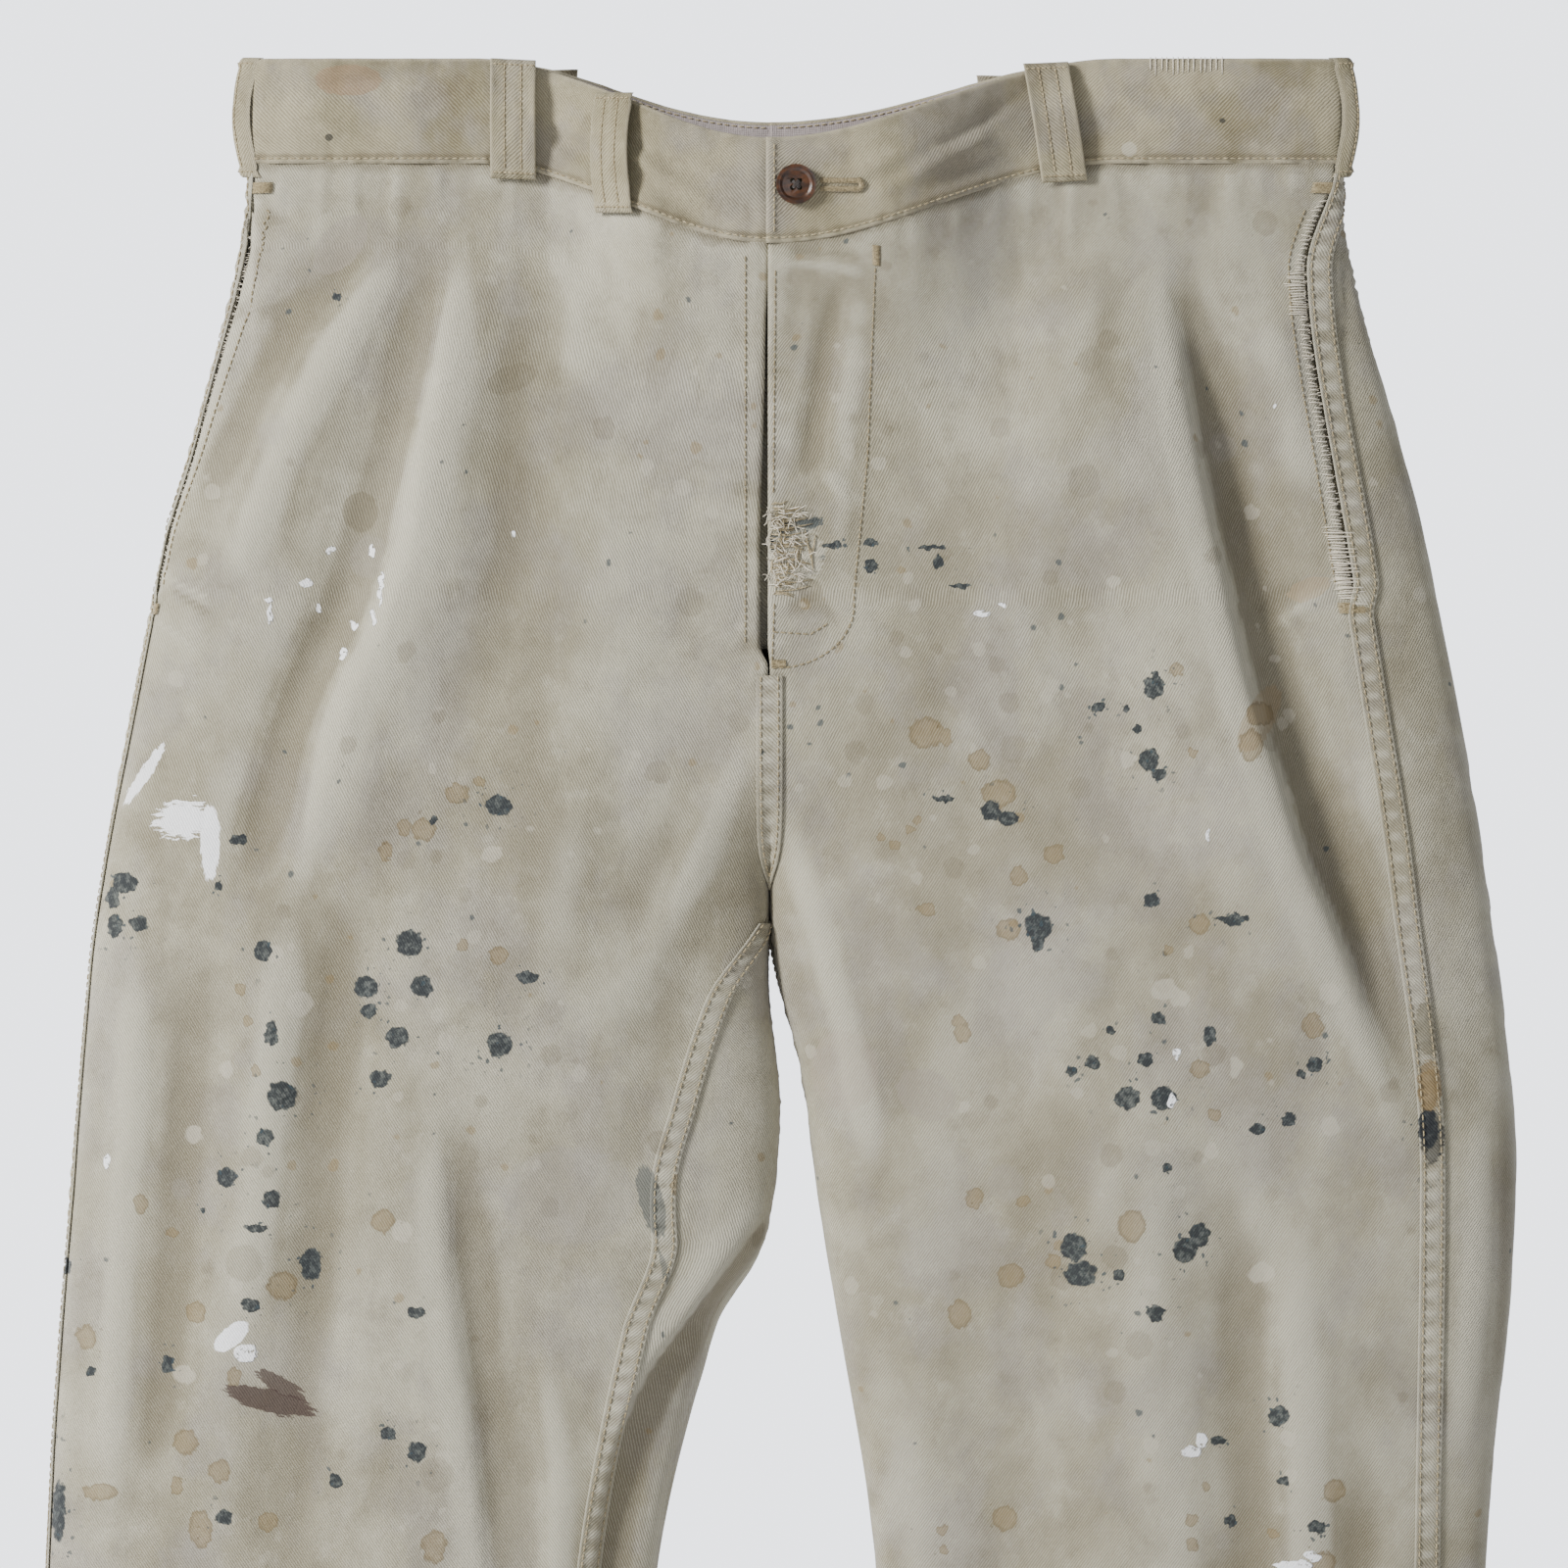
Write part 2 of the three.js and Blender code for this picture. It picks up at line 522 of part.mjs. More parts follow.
// A seam over the join of the two halves, on the front or the back.
function centreSeam(levels, back) {
  const edges = (side, z) =>
    (back ? backColumns(side, z).slice(-2).reverse() : frontColumns(side, z).slice(0, 2));
  const pair = (side, z, lift) => edges(side, z).map((g) => offSkin(side, g, sagged(side, g, z), lift));
  const grid = (lift) => levels.map((z) => [...pair('right', z, lift).reverse(), ...pair('left', z, lift)]);
  return slab(grid(seamLift), grid(GAP));
}
const offBoth = (geometry) => offShell('left', offShell('right', geometry));
add('crotch_seam', offBoth(centreSeam(heights.filter((z) => z < Z_FLY_FOOT && z > Z_CROTCH + 20), false)),
  'twill');
add('seat_seam', underBand(centreSeam(heights.filter((z) => z > Z_CROTCH + 44), true)), 'twill');

// ---------------------------------------------------------------- fly
const flyX = CENTRE_X + GAP;
function jShape(left, right, top, foot) {
  const shape = new THREE.Shape();
  shape.moveTo(left, top);
  shape.lineTo(left, foot);
  shape.quadraticCurveTo(right - 6, foot + 4, right - 6, foot + 36);
  shape.lineTo(right, top);
  shape.closePath();
  return shape;
}
const behindCloth = -FRONT_DEPTH + CLOTH + GAP;
const flyTop = Z_FLY_TOP - 3;
add('fly_facing', offShell('left',
  plate(jShape(flyX, flyX + FACING_WIDTH, flyTop, Z_FLY_FOOT + 3), behindCloth, LINING)), 'twill');

const teethFront = -FRONT_DEPTH + ZIP_STACK;
const teethBack = teethFront + TOOTH_THICK;
const sliderClear = 0.4;
const shieldFront = teethBack + sliderClear + PLATE + 2 * GAP;
add('fly_shield', offShell('right', upright(strip([
  [CENTRE_X - 22, behindCloth], [CENTRE_X - 2, behindCloth], [CENTRE_X + 3, shieldFront],
  [CENTRE_X + UNDERLAP_REACH, shieldFront],
], LINING), Z_FLY_FOOT + 8, flyTop - 1)), 'twill');

const zipTop = flyTop - 2;
const zipFoot = Z_FLY_FOOT + 10;
const rowInner = ROW_SPACING / 2;
const rowOuter = rowInner + TOOTH_WIDTH;
const tapeThick = 0.6;
const tapeLevel = teethFront + (TOOTH_THICK - tapeThick) / 2;
const facingBack = behindCloth + LINING + GAP;
add('zip_tape_left', upright(strip([
  [ZIP_X + rowOuter + GAP, tapeLevel], [ZIP_X + SLIDER_WIDTH / 2 + 2, tapeLevel],
  [ZIP_X + SLIDER_WIDTH / 2 + 6, facingBack], [flyX + FACING_WIDTH - 9, facingBack],
], tapeThick), zipFoot - 4, zipTop), 'tape');
add('zip_tape_right', upright(strip([
  [CENTRE_X + 4.5, shieldFront - GAP - tapeThick], [ZIP_X - SLIDER_WIDTH / 2 - 2, tapeLevel],
  [ZIP_X - rowOuter - GAP, tapeLevel],
], tapeThick), zipFoot - 4, zipTop), 'tape');

// One row of teeth: a comb in the XZ plane whose teeth point at the other row.
function teeth(sign) {
  const shape = new THREE.Shape();
  const count = Math.floor((zipTop - zipFoot - 9) / TOOTH_PITCH);
  const start = zipTop - 5;
  shape.moveTo(ZIP_X + sign * rowOuter, start);
  for (let i = 0; i < count; i++) {
    const z = start - i * TOOTH_PITCH;
    shape.lineTo(ZIP_X + sign * rowInner, z);
    shape.lineTo(ZIP_X + sign * rowInner, z - TOOTH_PITCH / 2);
    shape.lineTo(ZIP_X + sign * (rowOuter - 1), z - TOOTH_PITCH / 2);
    shape.lineTo(ZIP_X + sign * (rowOuter - 1), z - TOOTH_PITCH);
  }
  shape.lineTo(ZIP_X + sign * rowOuter, start - count * TOOTH_PITCH);
  shape.closePath();
  return plate(shape, teethFront, TOOTH_THICK);
}
add('zip_teeth_left', teeth(1), 'brass');
add('zip_teeth_right', teeth(-1), 'brass');
const stopDeep = 0.3;
for (const [side, sign] of [['left', 1], ['right', -1]]) {
  const edges = [ZIP_X + sign * rowInner, ZIP_X + sign * rowOuter].sort((a, b) => a - b);
  add(`zip_top_stop_${side}`, box([edges[0], teethFront - stopDeep, zipTop - 5 + GAP],
    [edges[1], teethBack + stopDeep, zipTop - 1]), 'brass');
}
const teethFoot = zipTop - 5 - Math.floor((zipTop - zipFoot - 9) / TOOTH_PITCH) * TOOTH_PITCH;
add('zip_bottom_stop', box([ZIP_X - rowOuter, teethFront - stopDeep, teethFoot - GAP - 4],
  [ZIP_X + rowOuter, teethBack + stopDeep, teethFoot - GAP]), 'brass');

// The slider's two plates are joined by a divider that runs between the rows.
const sliderTop = zipTop - 5 - GAP;
const plateFront = teethFront - sliderClear - PLATE;
const lugR = 1.2;
const pullThick = 0.8;
const lugZ = sliderTop - 3.5;
const lugLength = pullThick + 2 * sliderClear + 1;
function lugPart(radius, front, back) {
  return new THREE.CylinderGeometry(radius, radius, back - front, 16)
    .translate(ZIP_X, (front + back) / 2, lugZ);
}
const capFront = plateFront - lugLength;
add('zip_slider', joined(
  box([ZIP_X - SLIDER_WIDTH / 2, plateFront, sliderTop - SLIDER_HEIGHT],
    [ZIP_X + SLIDER_WIDTH / 2, plateFront + PLATE, sliderTop]),
  box([ZIP_X - SLIDER_WIDTH / 2, teethBack + sliderClear, sliderTop - SLIDER_HEIGHT],
    [ZIP_X + SLIDER_WIDTH / 2, teethBack + sliderClear + PLATE, sliderTop]),
  box([ZIP_X - (ROW_SPACING / 2 - GAP), plateFront + PLATE / 2, sliderTop - 4],
    [ZIP_X + (ROW_SPACING / 2 - GAP), teethBack + sliderClear + PLATE / 2, sliderTop]),
  lugPart(lugR, capFront, plateFront + PLATE / 2),
  lugPart(lugR + 1, capFront, capFront + 0.6),
), 'brass');

const pullFront = capFront + 0.6 + sliderClear / 2;
const pullShape = new THREE.Shape();
pullShape.moveTo(ZIP_X - PULL_WIDTH / 2, lugZ);
pullShape.lineTo(ZIP_X - PULL_WIDTH * 0.4, lugZ - PULL_LENGTH + PULL_WIDTH / 2);
pullShape.absarc(ZIP_X, lugZ - PULL_LENGTH + PULL_WIDTH / 2, PULL_WIDTH * 0.4, Math.PI, 2 * Math.PI, false);
pullShape.lineTo(ZIP_X + PULL_WIDTH / 2, lugZ);
pullShape.absarc(ZIP_X, lugZ, PULL_WIDTH / 2, 0, Math.PI, false);
const pullHole = new THREE.Path();
pullHole.absarc(ZIP_X, lugZ, lugR + GAP, 0, 2 * Math.PI, true);
pullShape.holes.push(pullHole);
add('zip_pull', plate(pullShape, pullFront, pullThick), 'brass');

// The darned place near the foot of the fly, laid over the fly's edge.
const darn = jShape(0, 21, 40, 0);
const DARN_THICK = 0.7;
add('fly_darn', plate(darn, 0, DARN_THICK)
  .translate(CENTRE_X + 1, -FRONT_DEPTH - GAP - DARN_THICK, Z_FLY_FOOT + 28), 'lining');

// ---------------------------------------------------------------- buttons
function button(diameter) {
  const r = diameter / 2;
  const profile = [[0, 0], [r - 1.2, 0], [r - 0.2, 0.6], [r, 1.4], [r - 0.5, BUTTON_THICK - 0.2],
    [r - 1.2, BUTTON_THICK], [r - 2.6, BUTTON_THICK - 0.7], [0, BUTTON_THICK - 0.9]];
  const body = new THREE.LatheGeometry(profile.map(([x, y]) => new THREE.Vector2(x, y)), 20);
  const holes = [0, 1, 2, 3].map((k) => {
    const turn = Math.PI / 4 + (k * Math.PI) / 2;
    return new THREE.CylinderGeometry(0.95, 0.95, 8, 6)
      .translate(1.9 * Math.cos(turn), 0, 1.9 * Math.sin(turn));
  });
  return without(body, ...holes);
}

// A button and its thread shank, standing off a face along +Y of its own group.
function sewnButton(name, diameter, seat, axis, shankFrom) {
  const group = new THREE.Group();
  group.position.copy(seat);
  group.quaternion.setFromUnitVectors(new THREE.Vector3(0, 1, 0), axis);
  trousers.add(group);
  add(name, button(diameter).translate(0, BUTTON_LIFT, 0), 'horn', group);
  const length = BUTTON_LIFT - GAP - shankFrom;
  add(`${name}_thread`, new THREE.CylinderGeometry(SHANK_R, SHANK_R, length, 12)
    .translate(0, shankFrom + length / 2, 0), 'darkThread', group);
}
sewnButton('waist_button', BUTTON_D, new THREE.Vector3(BUTTON_X, -FRONT_DEPTH, Z_BUTTON),
  new THREE.Vector3(0, -1, 0), -(underlapFront + FRONT_DEPTH) + GAP);

// The buttonhole's stitching stands round the part of the slot that the button leaves bare.
const stitchFront = -FRONT_DEPTH - GAP - 0.5;
const stitchLow = [BUTTON_X + BUTTON_D / 2 + 1.5, stitchFront, Z_BUTTON - 3.4];
const stitchHigh = [BUTTON_X + BUTTONHOLE_LENGTH + 2, stitchFront + 0.5, Z_BUTTON + 3.4];
add('buttonhole_stitching', without(box(stitchLow, stitchHigh),
  box([stitchLow[0] - 2, stitchFront - 1, Z_BUTTON - BUTTONHOLE_HEIGHT / 2],
    [BUTTON_X + BUTTONHOLE_LENGTH, stitchFront + 2, Z_BUTTON + BUTTONHOLE_HEIGHT / 2])), 'thread');

// ---------------------------------------------------------------- front pockets
const bagFront = -CLOTH - GAP;
const hollow = (z) => mix(1.5, BAG_HOLLOW, ease((Z_MOUTH_TOP - z) / 80));
const BAG_COLUMNS = 5;
for (const side of ['right', 'left']) {
  const levels = heights.filter((z) => z <= Z_MOUTH_TOP && z >= Z_MOUTH_TOP - BAG_LENGTH);
  const columns = (z) => frontColumns(side, z).slice(-2 - BAG_COLUMNS, -1);
  const foot = (z) => bagFront - hollow(z) - 2 * LINING;
  const shell = sheet(side, levels, columns, bagFront, foot);
  const roomLevels = [levels[0] - LINING, ...levels.slice(1, -1), levels.at(-1) + LINING];
  const roomColumns = (z) => {
    const [first, ...rest] = columns(z);
    const open = walk(side, rest.at(-1), z, inMouth(z - 2) ? 4 : -LINING);
    return [walk(side, first, z, LINING), ...rest.slice(0, -1), open];
  };
  const room = sheet(side, roomLevels, roomColumns, bagFront - LINING, (z) => foot(z) + LINING);
  add(`${side}_pocket_bag`, without(shell, room), 'lining');

  const facingLevels = heights.filter((z) => z <= Z_MOUTH_TOP && z >= Z_MOUTH_FOOT - 1);
  add(`${side}_pocket_facing`, sheet(side, facingLevels, (z) => backColumns(side, z).slice(0, 3),
    -CLOTH - GAP, -CLOTH - GAP - LINING), 'lining');
  for (const [place, level] of [['top', Z_MOUTH_TOP + 1.5], ['foot', Z_MOUTH_FOOT + 2.5]]) {
    add(`${side}_pocket_${place}_tack`, offShell(side, cloth(side, [level + 1.1, level - 1.1],
      outseamEdge(side, -9), outseamEdge(side, 6), 4, GAP + 0.8, GAP)), 'thread');
  }
}

// ---------------------------------------------------------------- back pockets
const backBagFront = -CLOTH - 2 * GAP;
for (const side of ['right', 'left']) {
  const half = halves[side];
  const nearOut = half.sign * CENTRE_X + BACK_POCKET_INSET;
  const span = (reach) => [nearOut + BACK_POCKET_WIDTH + reach, nearOut - reach]
    .map((out) => (z) => girthAt(side, out, z, true));
  const level = Z_BACK_MOUTH;
  const [weltFrom, weltTo] = span(5);
  const weltHigh = SLIT_HEIGHT / 2 + WELT_HEIGHT;
  const weltRows = [level + weltHigh, level, level - weltHigh];
  const welt = cloth(side, weltRows, weltFrom, weltTo, 6, GAP + 1.1, GAP);
  add(`${side}_back_welt`, offShell(side, without(welt, backMouth(side))), 'twill');

  const [bagTop, bagFoot] = [level + 12, level - BACK_BAG_LENGTH];
  const rows = [bagTop, ...heights.filter((z) => z < bagTop - 5 && z > bagFoot + 12), bagFoot];
  const [bagFrom, bagTo] = span(3);
  const [roomFrom, roomTo] = span(1);
  const room = BACK_BAG_HOLLOW;
  const shell = cloth(side, rows, bagFrom, bagTo, 6, backBagFront, backBagFront - room - 2 * LINING);
  const roomRows = [rows[0] - LINING, ...rows.slice(1, -1), rows.at(-1) + LINING];
  const lined = backBagFront - LINING;
  const space = cloth(side, roomRows, roomFrom, roomTo, 6, lined, lined - room);
  const slit = backMouth(side);
  const cutDepth = cloth(side, rows, bagFrom, bagTo, 6, 3, lined - room / 2);
  const mouthCut = geometryOf(solid(slit).intersect(solid(cutDepth)));
  add(`${side}_back_pocket_bag`, offShell(side, without(shell, space, mouthCut)), 'lining');
}
const backButtonOut = CENTRE_X + BACK_POCKET_INSET + BACK_POCKET_WIDTH / 2;
const backButtonZ = Z_BACK_MOUTH - BACK_MOUTH_SAG - 19;
const backGirth = girthAt('left', backButtonOut, backButtonZ, true);
sewnButton('back_pocket_button', BACK_BUTTON_D, skin('left', backGirth, backButtonZ),
  normal('left', backGirth, backButtonZ), GAP);

// ---------------------------------------------------------------- belt loops
// A loop is a bowed strap: its two feet lie on the band's edges, and a belt passes behind its middle.
function beltLoop(name, side, girth) {
  const sides = [-LOOP_WIDTH / 2, 0, LOOP_WIDTH / 2].map((d) => walk(side, girth, Z_SEAM, d));
  const across5 = [sides[0], (sides[0] + sides[1]) / 2, sides[1], (sides[1] + sides[2]) / 2, sides[2]];
  const rows = steps(0, 1, 9);
  const bow = (t) => LOOP_BOW * Math.max(0, Math.sin(Math.PI * t)) ** 0.6;
  const grid = (extra) => rows.map((t) => across5.map((g) => {
    const level = bandTop(side, girth) + 1 - t * (BAND_HEIGHT + 6);
    return offSkin(side, g, Z_SEAM + BAND_HEIGHT / 2, GAP + SEAM_PROUD * 0.2 + bow(t) + extra).setZ(level);
  }));
  const strap = slab(grid(LOOP_THICK), grid(0));
  add(name, without(offBoth(strap), band(side, GAP, -CLOTH, -2, BAND_HEIGHT)), 'twill');
}
beltLoop('belt_loop_right_front', 'right', girthAt('right', 118, Z_SEAM, false));
beltLoop('belt_loop_right_fly', 'right', girthAt('right', 74, Z_SEAM, false));
beltLoop('belt_loop_left_front', 'left', girthAt('left', 108, Z_SEAM, false));
beltLoop('belt_loop_left_side', 'left', 1);
beltLoop('belt_loop_right_side', 'right', 1);
beltLoop('belt_loop_right_back', 'right', girthAt('right', 100, Z_SEAM, true));
beltLoop('belt_loop_left_back', 'left', girthAt('left', 84, Z_SEAM, true));

export default trousers;
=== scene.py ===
import math

import bpy
import numpy as np
from mathutils import Matrix, Vector


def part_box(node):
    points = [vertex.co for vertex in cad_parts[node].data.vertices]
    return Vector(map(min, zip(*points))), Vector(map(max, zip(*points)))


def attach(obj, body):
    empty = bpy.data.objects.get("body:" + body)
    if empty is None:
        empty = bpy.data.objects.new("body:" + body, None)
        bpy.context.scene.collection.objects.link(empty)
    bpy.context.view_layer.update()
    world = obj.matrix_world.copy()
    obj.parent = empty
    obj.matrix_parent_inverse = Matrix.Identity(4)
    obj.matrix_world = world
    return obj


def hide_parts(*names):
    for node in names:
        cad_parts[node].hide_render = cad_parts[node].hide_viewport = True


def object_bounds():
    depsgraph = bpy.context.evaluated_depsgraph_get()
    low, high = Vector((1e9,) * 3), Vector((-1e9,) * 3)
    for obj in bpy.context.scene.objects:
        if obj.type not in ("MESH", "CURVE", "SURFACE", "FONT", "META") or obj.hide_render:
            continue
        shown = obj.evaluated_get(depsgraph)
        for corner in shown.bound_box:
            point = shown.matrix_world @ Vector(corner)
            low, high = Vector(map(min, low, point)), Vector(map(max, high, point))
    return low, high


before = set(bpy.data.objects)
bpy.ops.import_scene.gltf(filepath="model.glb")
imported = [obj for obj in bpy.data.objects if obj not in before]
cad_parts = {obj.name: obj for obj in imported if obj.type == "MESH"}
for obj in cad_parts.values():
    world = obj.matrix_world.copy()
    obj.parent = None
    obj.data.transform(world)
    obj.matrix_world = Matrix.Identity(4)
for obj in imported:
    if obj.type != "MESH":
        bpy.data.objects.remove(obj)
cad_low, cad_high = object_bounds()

# Work trousers with paint marks, hung by the waistband. The shapes below are worked out in millimetres,
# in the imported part's frame, and made in metres. Right and left are the wearer's: the right leg is at -X.
MM = 0.001


def corners(node):
    low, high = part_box(node)
    return np.array(low) / MM, np.array(high) / MM


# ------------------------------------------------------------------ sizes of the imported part, mm
GAP = 0.3                                             # between the cut pieces of cloth
HALF = round(corners("left_waistband")[1][0], 1)      # half the width of the waist
BAND = 44.0                                           # height of the waistband
FRONT_DIP, BACK_DIP = 35.0, 24.0                      # sag of the top edge between the clips
CLIP_X, CLIP_FLAT, SAG_START = 134.0, 15.0, 29.0      # the clips, flat beside them, sagging between
CLIP_DEPTH, FRONT_DEPTH = 5.5, 30.0                   # from the middle to the front, at the clips and below
CENTRE_X = -11.0                                      # centre front and back, as the trousers hang
FLY_FLAT = 44.0                                       # the front is flat this far out from its centre
SEAM_BLEND = 110.0                                    # height over which the waist turns into the hip
Z_SEAM = -BAND                                        # waistband seam, at the sides
Z_BAND_MIDDLE = Z_SEAM + BAND / 2
Z_FLY_TOP = Z_SEAM - FRONT_DIP
Z_FLY_FOOT = Z_FLY_TOP - 176
Z_FLY_ROW_TOP, Z_FLY_ROW_FOOT = -83, -255             # the curved row of stitches beside the fly
Z_CROTCH = Z_FLY_FOOT - 99
Z_HEM = round(corners("left_hem")[0][2], 1)
INSEAM = Z_CROTCH - Z_HEM
Z_HIP = Z_SEAM - 0.52 * (Z_SEAM - Z_CROTCH)
Z_THIGH = Z_CROTCH - 0.157 * INSEAM
Z_KNEE = Z_CROTCH - 0.384 * INSEAM
CURVE_FRONT, CURVE_BACK = Z_CROTCH + 64, Z_CROTCH + 114
Z_MOUTH_TOP, Z_MOUTH_FOOT = Z_SEAM - 10, Z_SEAM - 186
MOUTH_GAP = 6.0                                       # how far a front pocket stands open
Z_BACK_MOUTH = Z_SEAM - 84 - 0.12 * BACK_DIP
BACK_MOUTH, BACK_MOUTH_WIDTH = 62, 128                # a back pocket's mouth, from the seat seam
THIGH, KNEE, HEM = 292.0, 254.0, 225.0                # flat widths of a leg
SEAM_WIDTH = 11.0                                     # of a felled seam
HEM_HEIGHT = 30.0
LOOP_WIDTH = 19.0


# ------------------------------------------------------------------ curves
def ease(t):
    t = np.clip(t, 0, 1)
    return t * t * (3 - 2 * t)


def mix(a, b, t):
    return a + (b - a) * t


def through(*pairs):
    """A smooth curve through (place, value) pairs, level beyond its ends."""
    places, values = np.array(sorted(pairs), float).T
    slopes = np.diff(values) / np.diff(places)
    tangents = np.zeros(len(values))
    before, after = slopes[:-1], slopes[1:]
    same_way = before * after > 0
    tangents[1:-1][same_way] = (2 * before * after)[same_way] / (before + after)[same_way]

    def at(place):
        place = np.clip(place, places[0], places[-1])
        i = np.clip(np.searchsorted(places, place) - 1, 0, len(places) - 2)
        h = places[i + 1] - places[i]
        t = (place - places[i]) / h
        return ((1 + 2 * t) * (1 - t) ** 2 * values[i] + t * (1 - t) ** 2 * h * tangents[i]
                + t * t * (3 - 2 * t) * values[i + 1] + t * t * (t - 1) * h * tangents[i + 1])
    return at


class Noise:
    """Smooth random hills from -1 to 1, on a plane, the same on each run."""

    def __init__(self, seed, size=64):
        self.size = size
        self.heights = np.random.default_rng(seed).uniform(-1, 1, (size, size))

    def __call__(self, x, y):
        i, j = np.floor(x).astype(int), np.floor(y).astype(int)
        u, v = ease(x - i), ease(y - j)

        def pick(a, b):
            return self.heights[(i + a) % self.size, (j + b) % self.size]
        return mix(mix(pick(0, 0), pick(1, 0), u), mix(pick(0, 1), pick(1, 1), u), v)


# ------------------------------------------------------------------ the body's surface
# A place on it is a side, a girth (0 inner edge, 0.5 front middle, 1 outer edge, 1.5 back middle) and a
# height. Distances across are counted outwards from x = 0.
HALVES = {
    "right": {
        "sign": -1,
        "outer": through((Z_SEAM, HALF), (Z_HIP, HALF + 35), (Z_CROTCH, HALF + 62), (Z_THIGH, HALF + 73),
                         (Z_KNEE, HALF + 84), (Z_HEM, HALF + 97)),
        "inner": through((Z_CROTCH, GAP / 2 - CENTRE_X), (Z_CROTCH - 30, GAP + 0.5 - CENTRE_X),
                         (Z_CROTCH - 84, HALF + 71 - THIGH), (Z_CROTCH - 137, HALF + 76 - THIGH),
                         (Z_CROTCH - 176, HALF + 97 - THIGH), (Z_KNEE, HALF + 84 - KNEE),
                         (Z_HEM, HALF + 97 - HEM)),
        "outseam": through((Z_SEAM, 1), (Z_HIP, 0.01), (Z_HEM, 0.01)),
        "inseam": through((Z_CROTCH, 0), (Z_CROTCH - 39, 21), (Z_CROTCH - 84, 40), (Z_THIGH, 46),
                          (Z_CROTCH - 176, 34), (Z_KNEE, 28), (Z_HEM, 22)),
    },
    "left": {
        "sign": 1,
        "outer": through((Z_SEAM, HALF), (Z_HIP, HALF + 35), (Z_CROTCH, HALF + 62), (Z_THIGH, HALF + 73),
                         (Z_KNEE, HALF + 60), (Z_HEM, HALF + 47)),
        "inner": through((Z_CROTCH, GAP / 2 + CENTRE_X), (Z_CROTCH - 31, CENTRE_X + 4),
                         (Z_CROTCH - 67, HALF + 66 - THIGH), (Z_CROTCH - 137, HALF + 76 - THIGH),
                         (Z_KNEE, HALF + 60 - KNEE), (Z_HEM, HALF + 47 - HEM)),
        "outseam": through((Z_SEAM, 2), (Z_SEAM - 45, 19), (Z_HIP, 33), (Z_CROTCH, 37), (Z_THIGH, 37),
                           (Z_KNEE, 26), (Z_HEM, 16)),
        "inseam": through((Z_CROTCH, 0), (Z_THIGH, -12), (Z_HEM, -8)),
    },
}
front_depth = through((Z_FLY_FOOT - 15, FRONT_DEPTH), (Z_CROTCH, FRONT_DEPTH + 2), (Z_KNEE, 27), (Z_HEM, 22))
back_depth = through((Z_SEAM, FRONT_DEPTH), (Z_HIP, 42), (Z_CROTCH, 37), (Z_KNEE, 27), (Z_HEM, 22))


def crotch_share(z, back):
    """How far down the crotch curve a height is, from 0 to 1."""
    start = np.where(back, CURVE_BACK, CURVE_FRONT)
    return np.clip((start - z) / (start - Z_CROTCH), 0, 1)


def centre_girth(z, back):
    """The girth of the centre line: half way above the crotch curve, 0 below it."""
    return 0.5 * (1 - crotch_share(z, back))


def sag(half, out, back):
    """How far the waist's edge hangs below its line at the clips."""
    share = np.clip((out - half["sign"] * CENTRE_X) / (CLIP_X - half["sign"] * CENTRE_X), 0, 1)
    return np.where(back, BACK_DIP, FRONT_DIP) * np.cos(np.pi / 2 * share) ** 2


def band_depth(half, out, back):
    """How far the waistband stands from the middle plane."""
    lens_start = half["sign"] * CENTRE_X + FLY_FLAT
    lens_end = CLIP_X - SAG_START
    lens = np.cos(np.pi / 2 * np.clip((out - lens_start) / (lens_end - lens_start), 0, 1)) ** 2
    round_start = CLIP_X + CLIP_FLAT
    rounded = (1 - np.clip((out - round_start) / (HALF - round_start), 0, 1) ** 8) ** 0.25
    return (FRONT_DEPTH - CLIP_DEPTH) * np.where(back, 0.75, 1) * lens + CLIP_DEPTH * rounded


def oval_radius(half, z, back):
    inner = np.where(z >= Z_CROTCH, half["sign"] * CENTRE_X + GAP / 2, half["inner"](z))
    return (half["outer"](z) - inner) / (1 + np.cos(np.pi * ease(centre_girth(z, back))))


def skin(side, girth, z):
    """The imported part's own surface."""
    half = HALVES[side]
    g, z = np.broadcast_arrays(np.mod(np.asarray(girth, float), 2), np.asarray(z, float))
    back = g > 1
    angle = np.pi * ease(np.where(back, 2 - g, g))
    outer = half["outer"](z)
    radius = oval_radius(half, z, back)
    out = outer - radius - radius * np.cos(angle)
    flat = FLY_FLAT * (1 - crotch_share(z, back))
    reach = np.maximum(0, (np.abs(np.cos(angle)) * radius - flat) / (radius - flat))
    oval = np.where(back, back_depth(z), front_depth(z)) * np.maximum(0, 1 - reach * reach) ** 0.25
    blend = ease((Z_SEAM - sag(half, out, back) - z) / SEAM_BLEND)
    depth = mix(band_depth(half, out, back), oval, blend)
    return np.stack([half["sign"] * out, np.where(back, depth, -depth), z], -1)


def skin_normal(side, girth, z):
    """The way off the surface."""
    step = 0.012
    along = skin(side, girth + step, z) - skin(side, girth - step, z)
    up = skin(side, girth, z + 1.0) - skin(side, girth, z - 1.0)
    n = np.cross(along, up) * HALVES[side]["sign"]
    return n / np.linalg.norm(n, axis=-1, keepdims=True)


def sagged(side, girth, z):
    """Rows near the waist follow its sagging seam."""
    out = skin(side, girth, Z_SEAM)[..., 0] * HALVES[side]["sign"]
    g = np.mod(girth, 2)
    return z - sag(HALVES[side], out, g > 1) * (1 - ease((Z_SEAM - z) / 170))


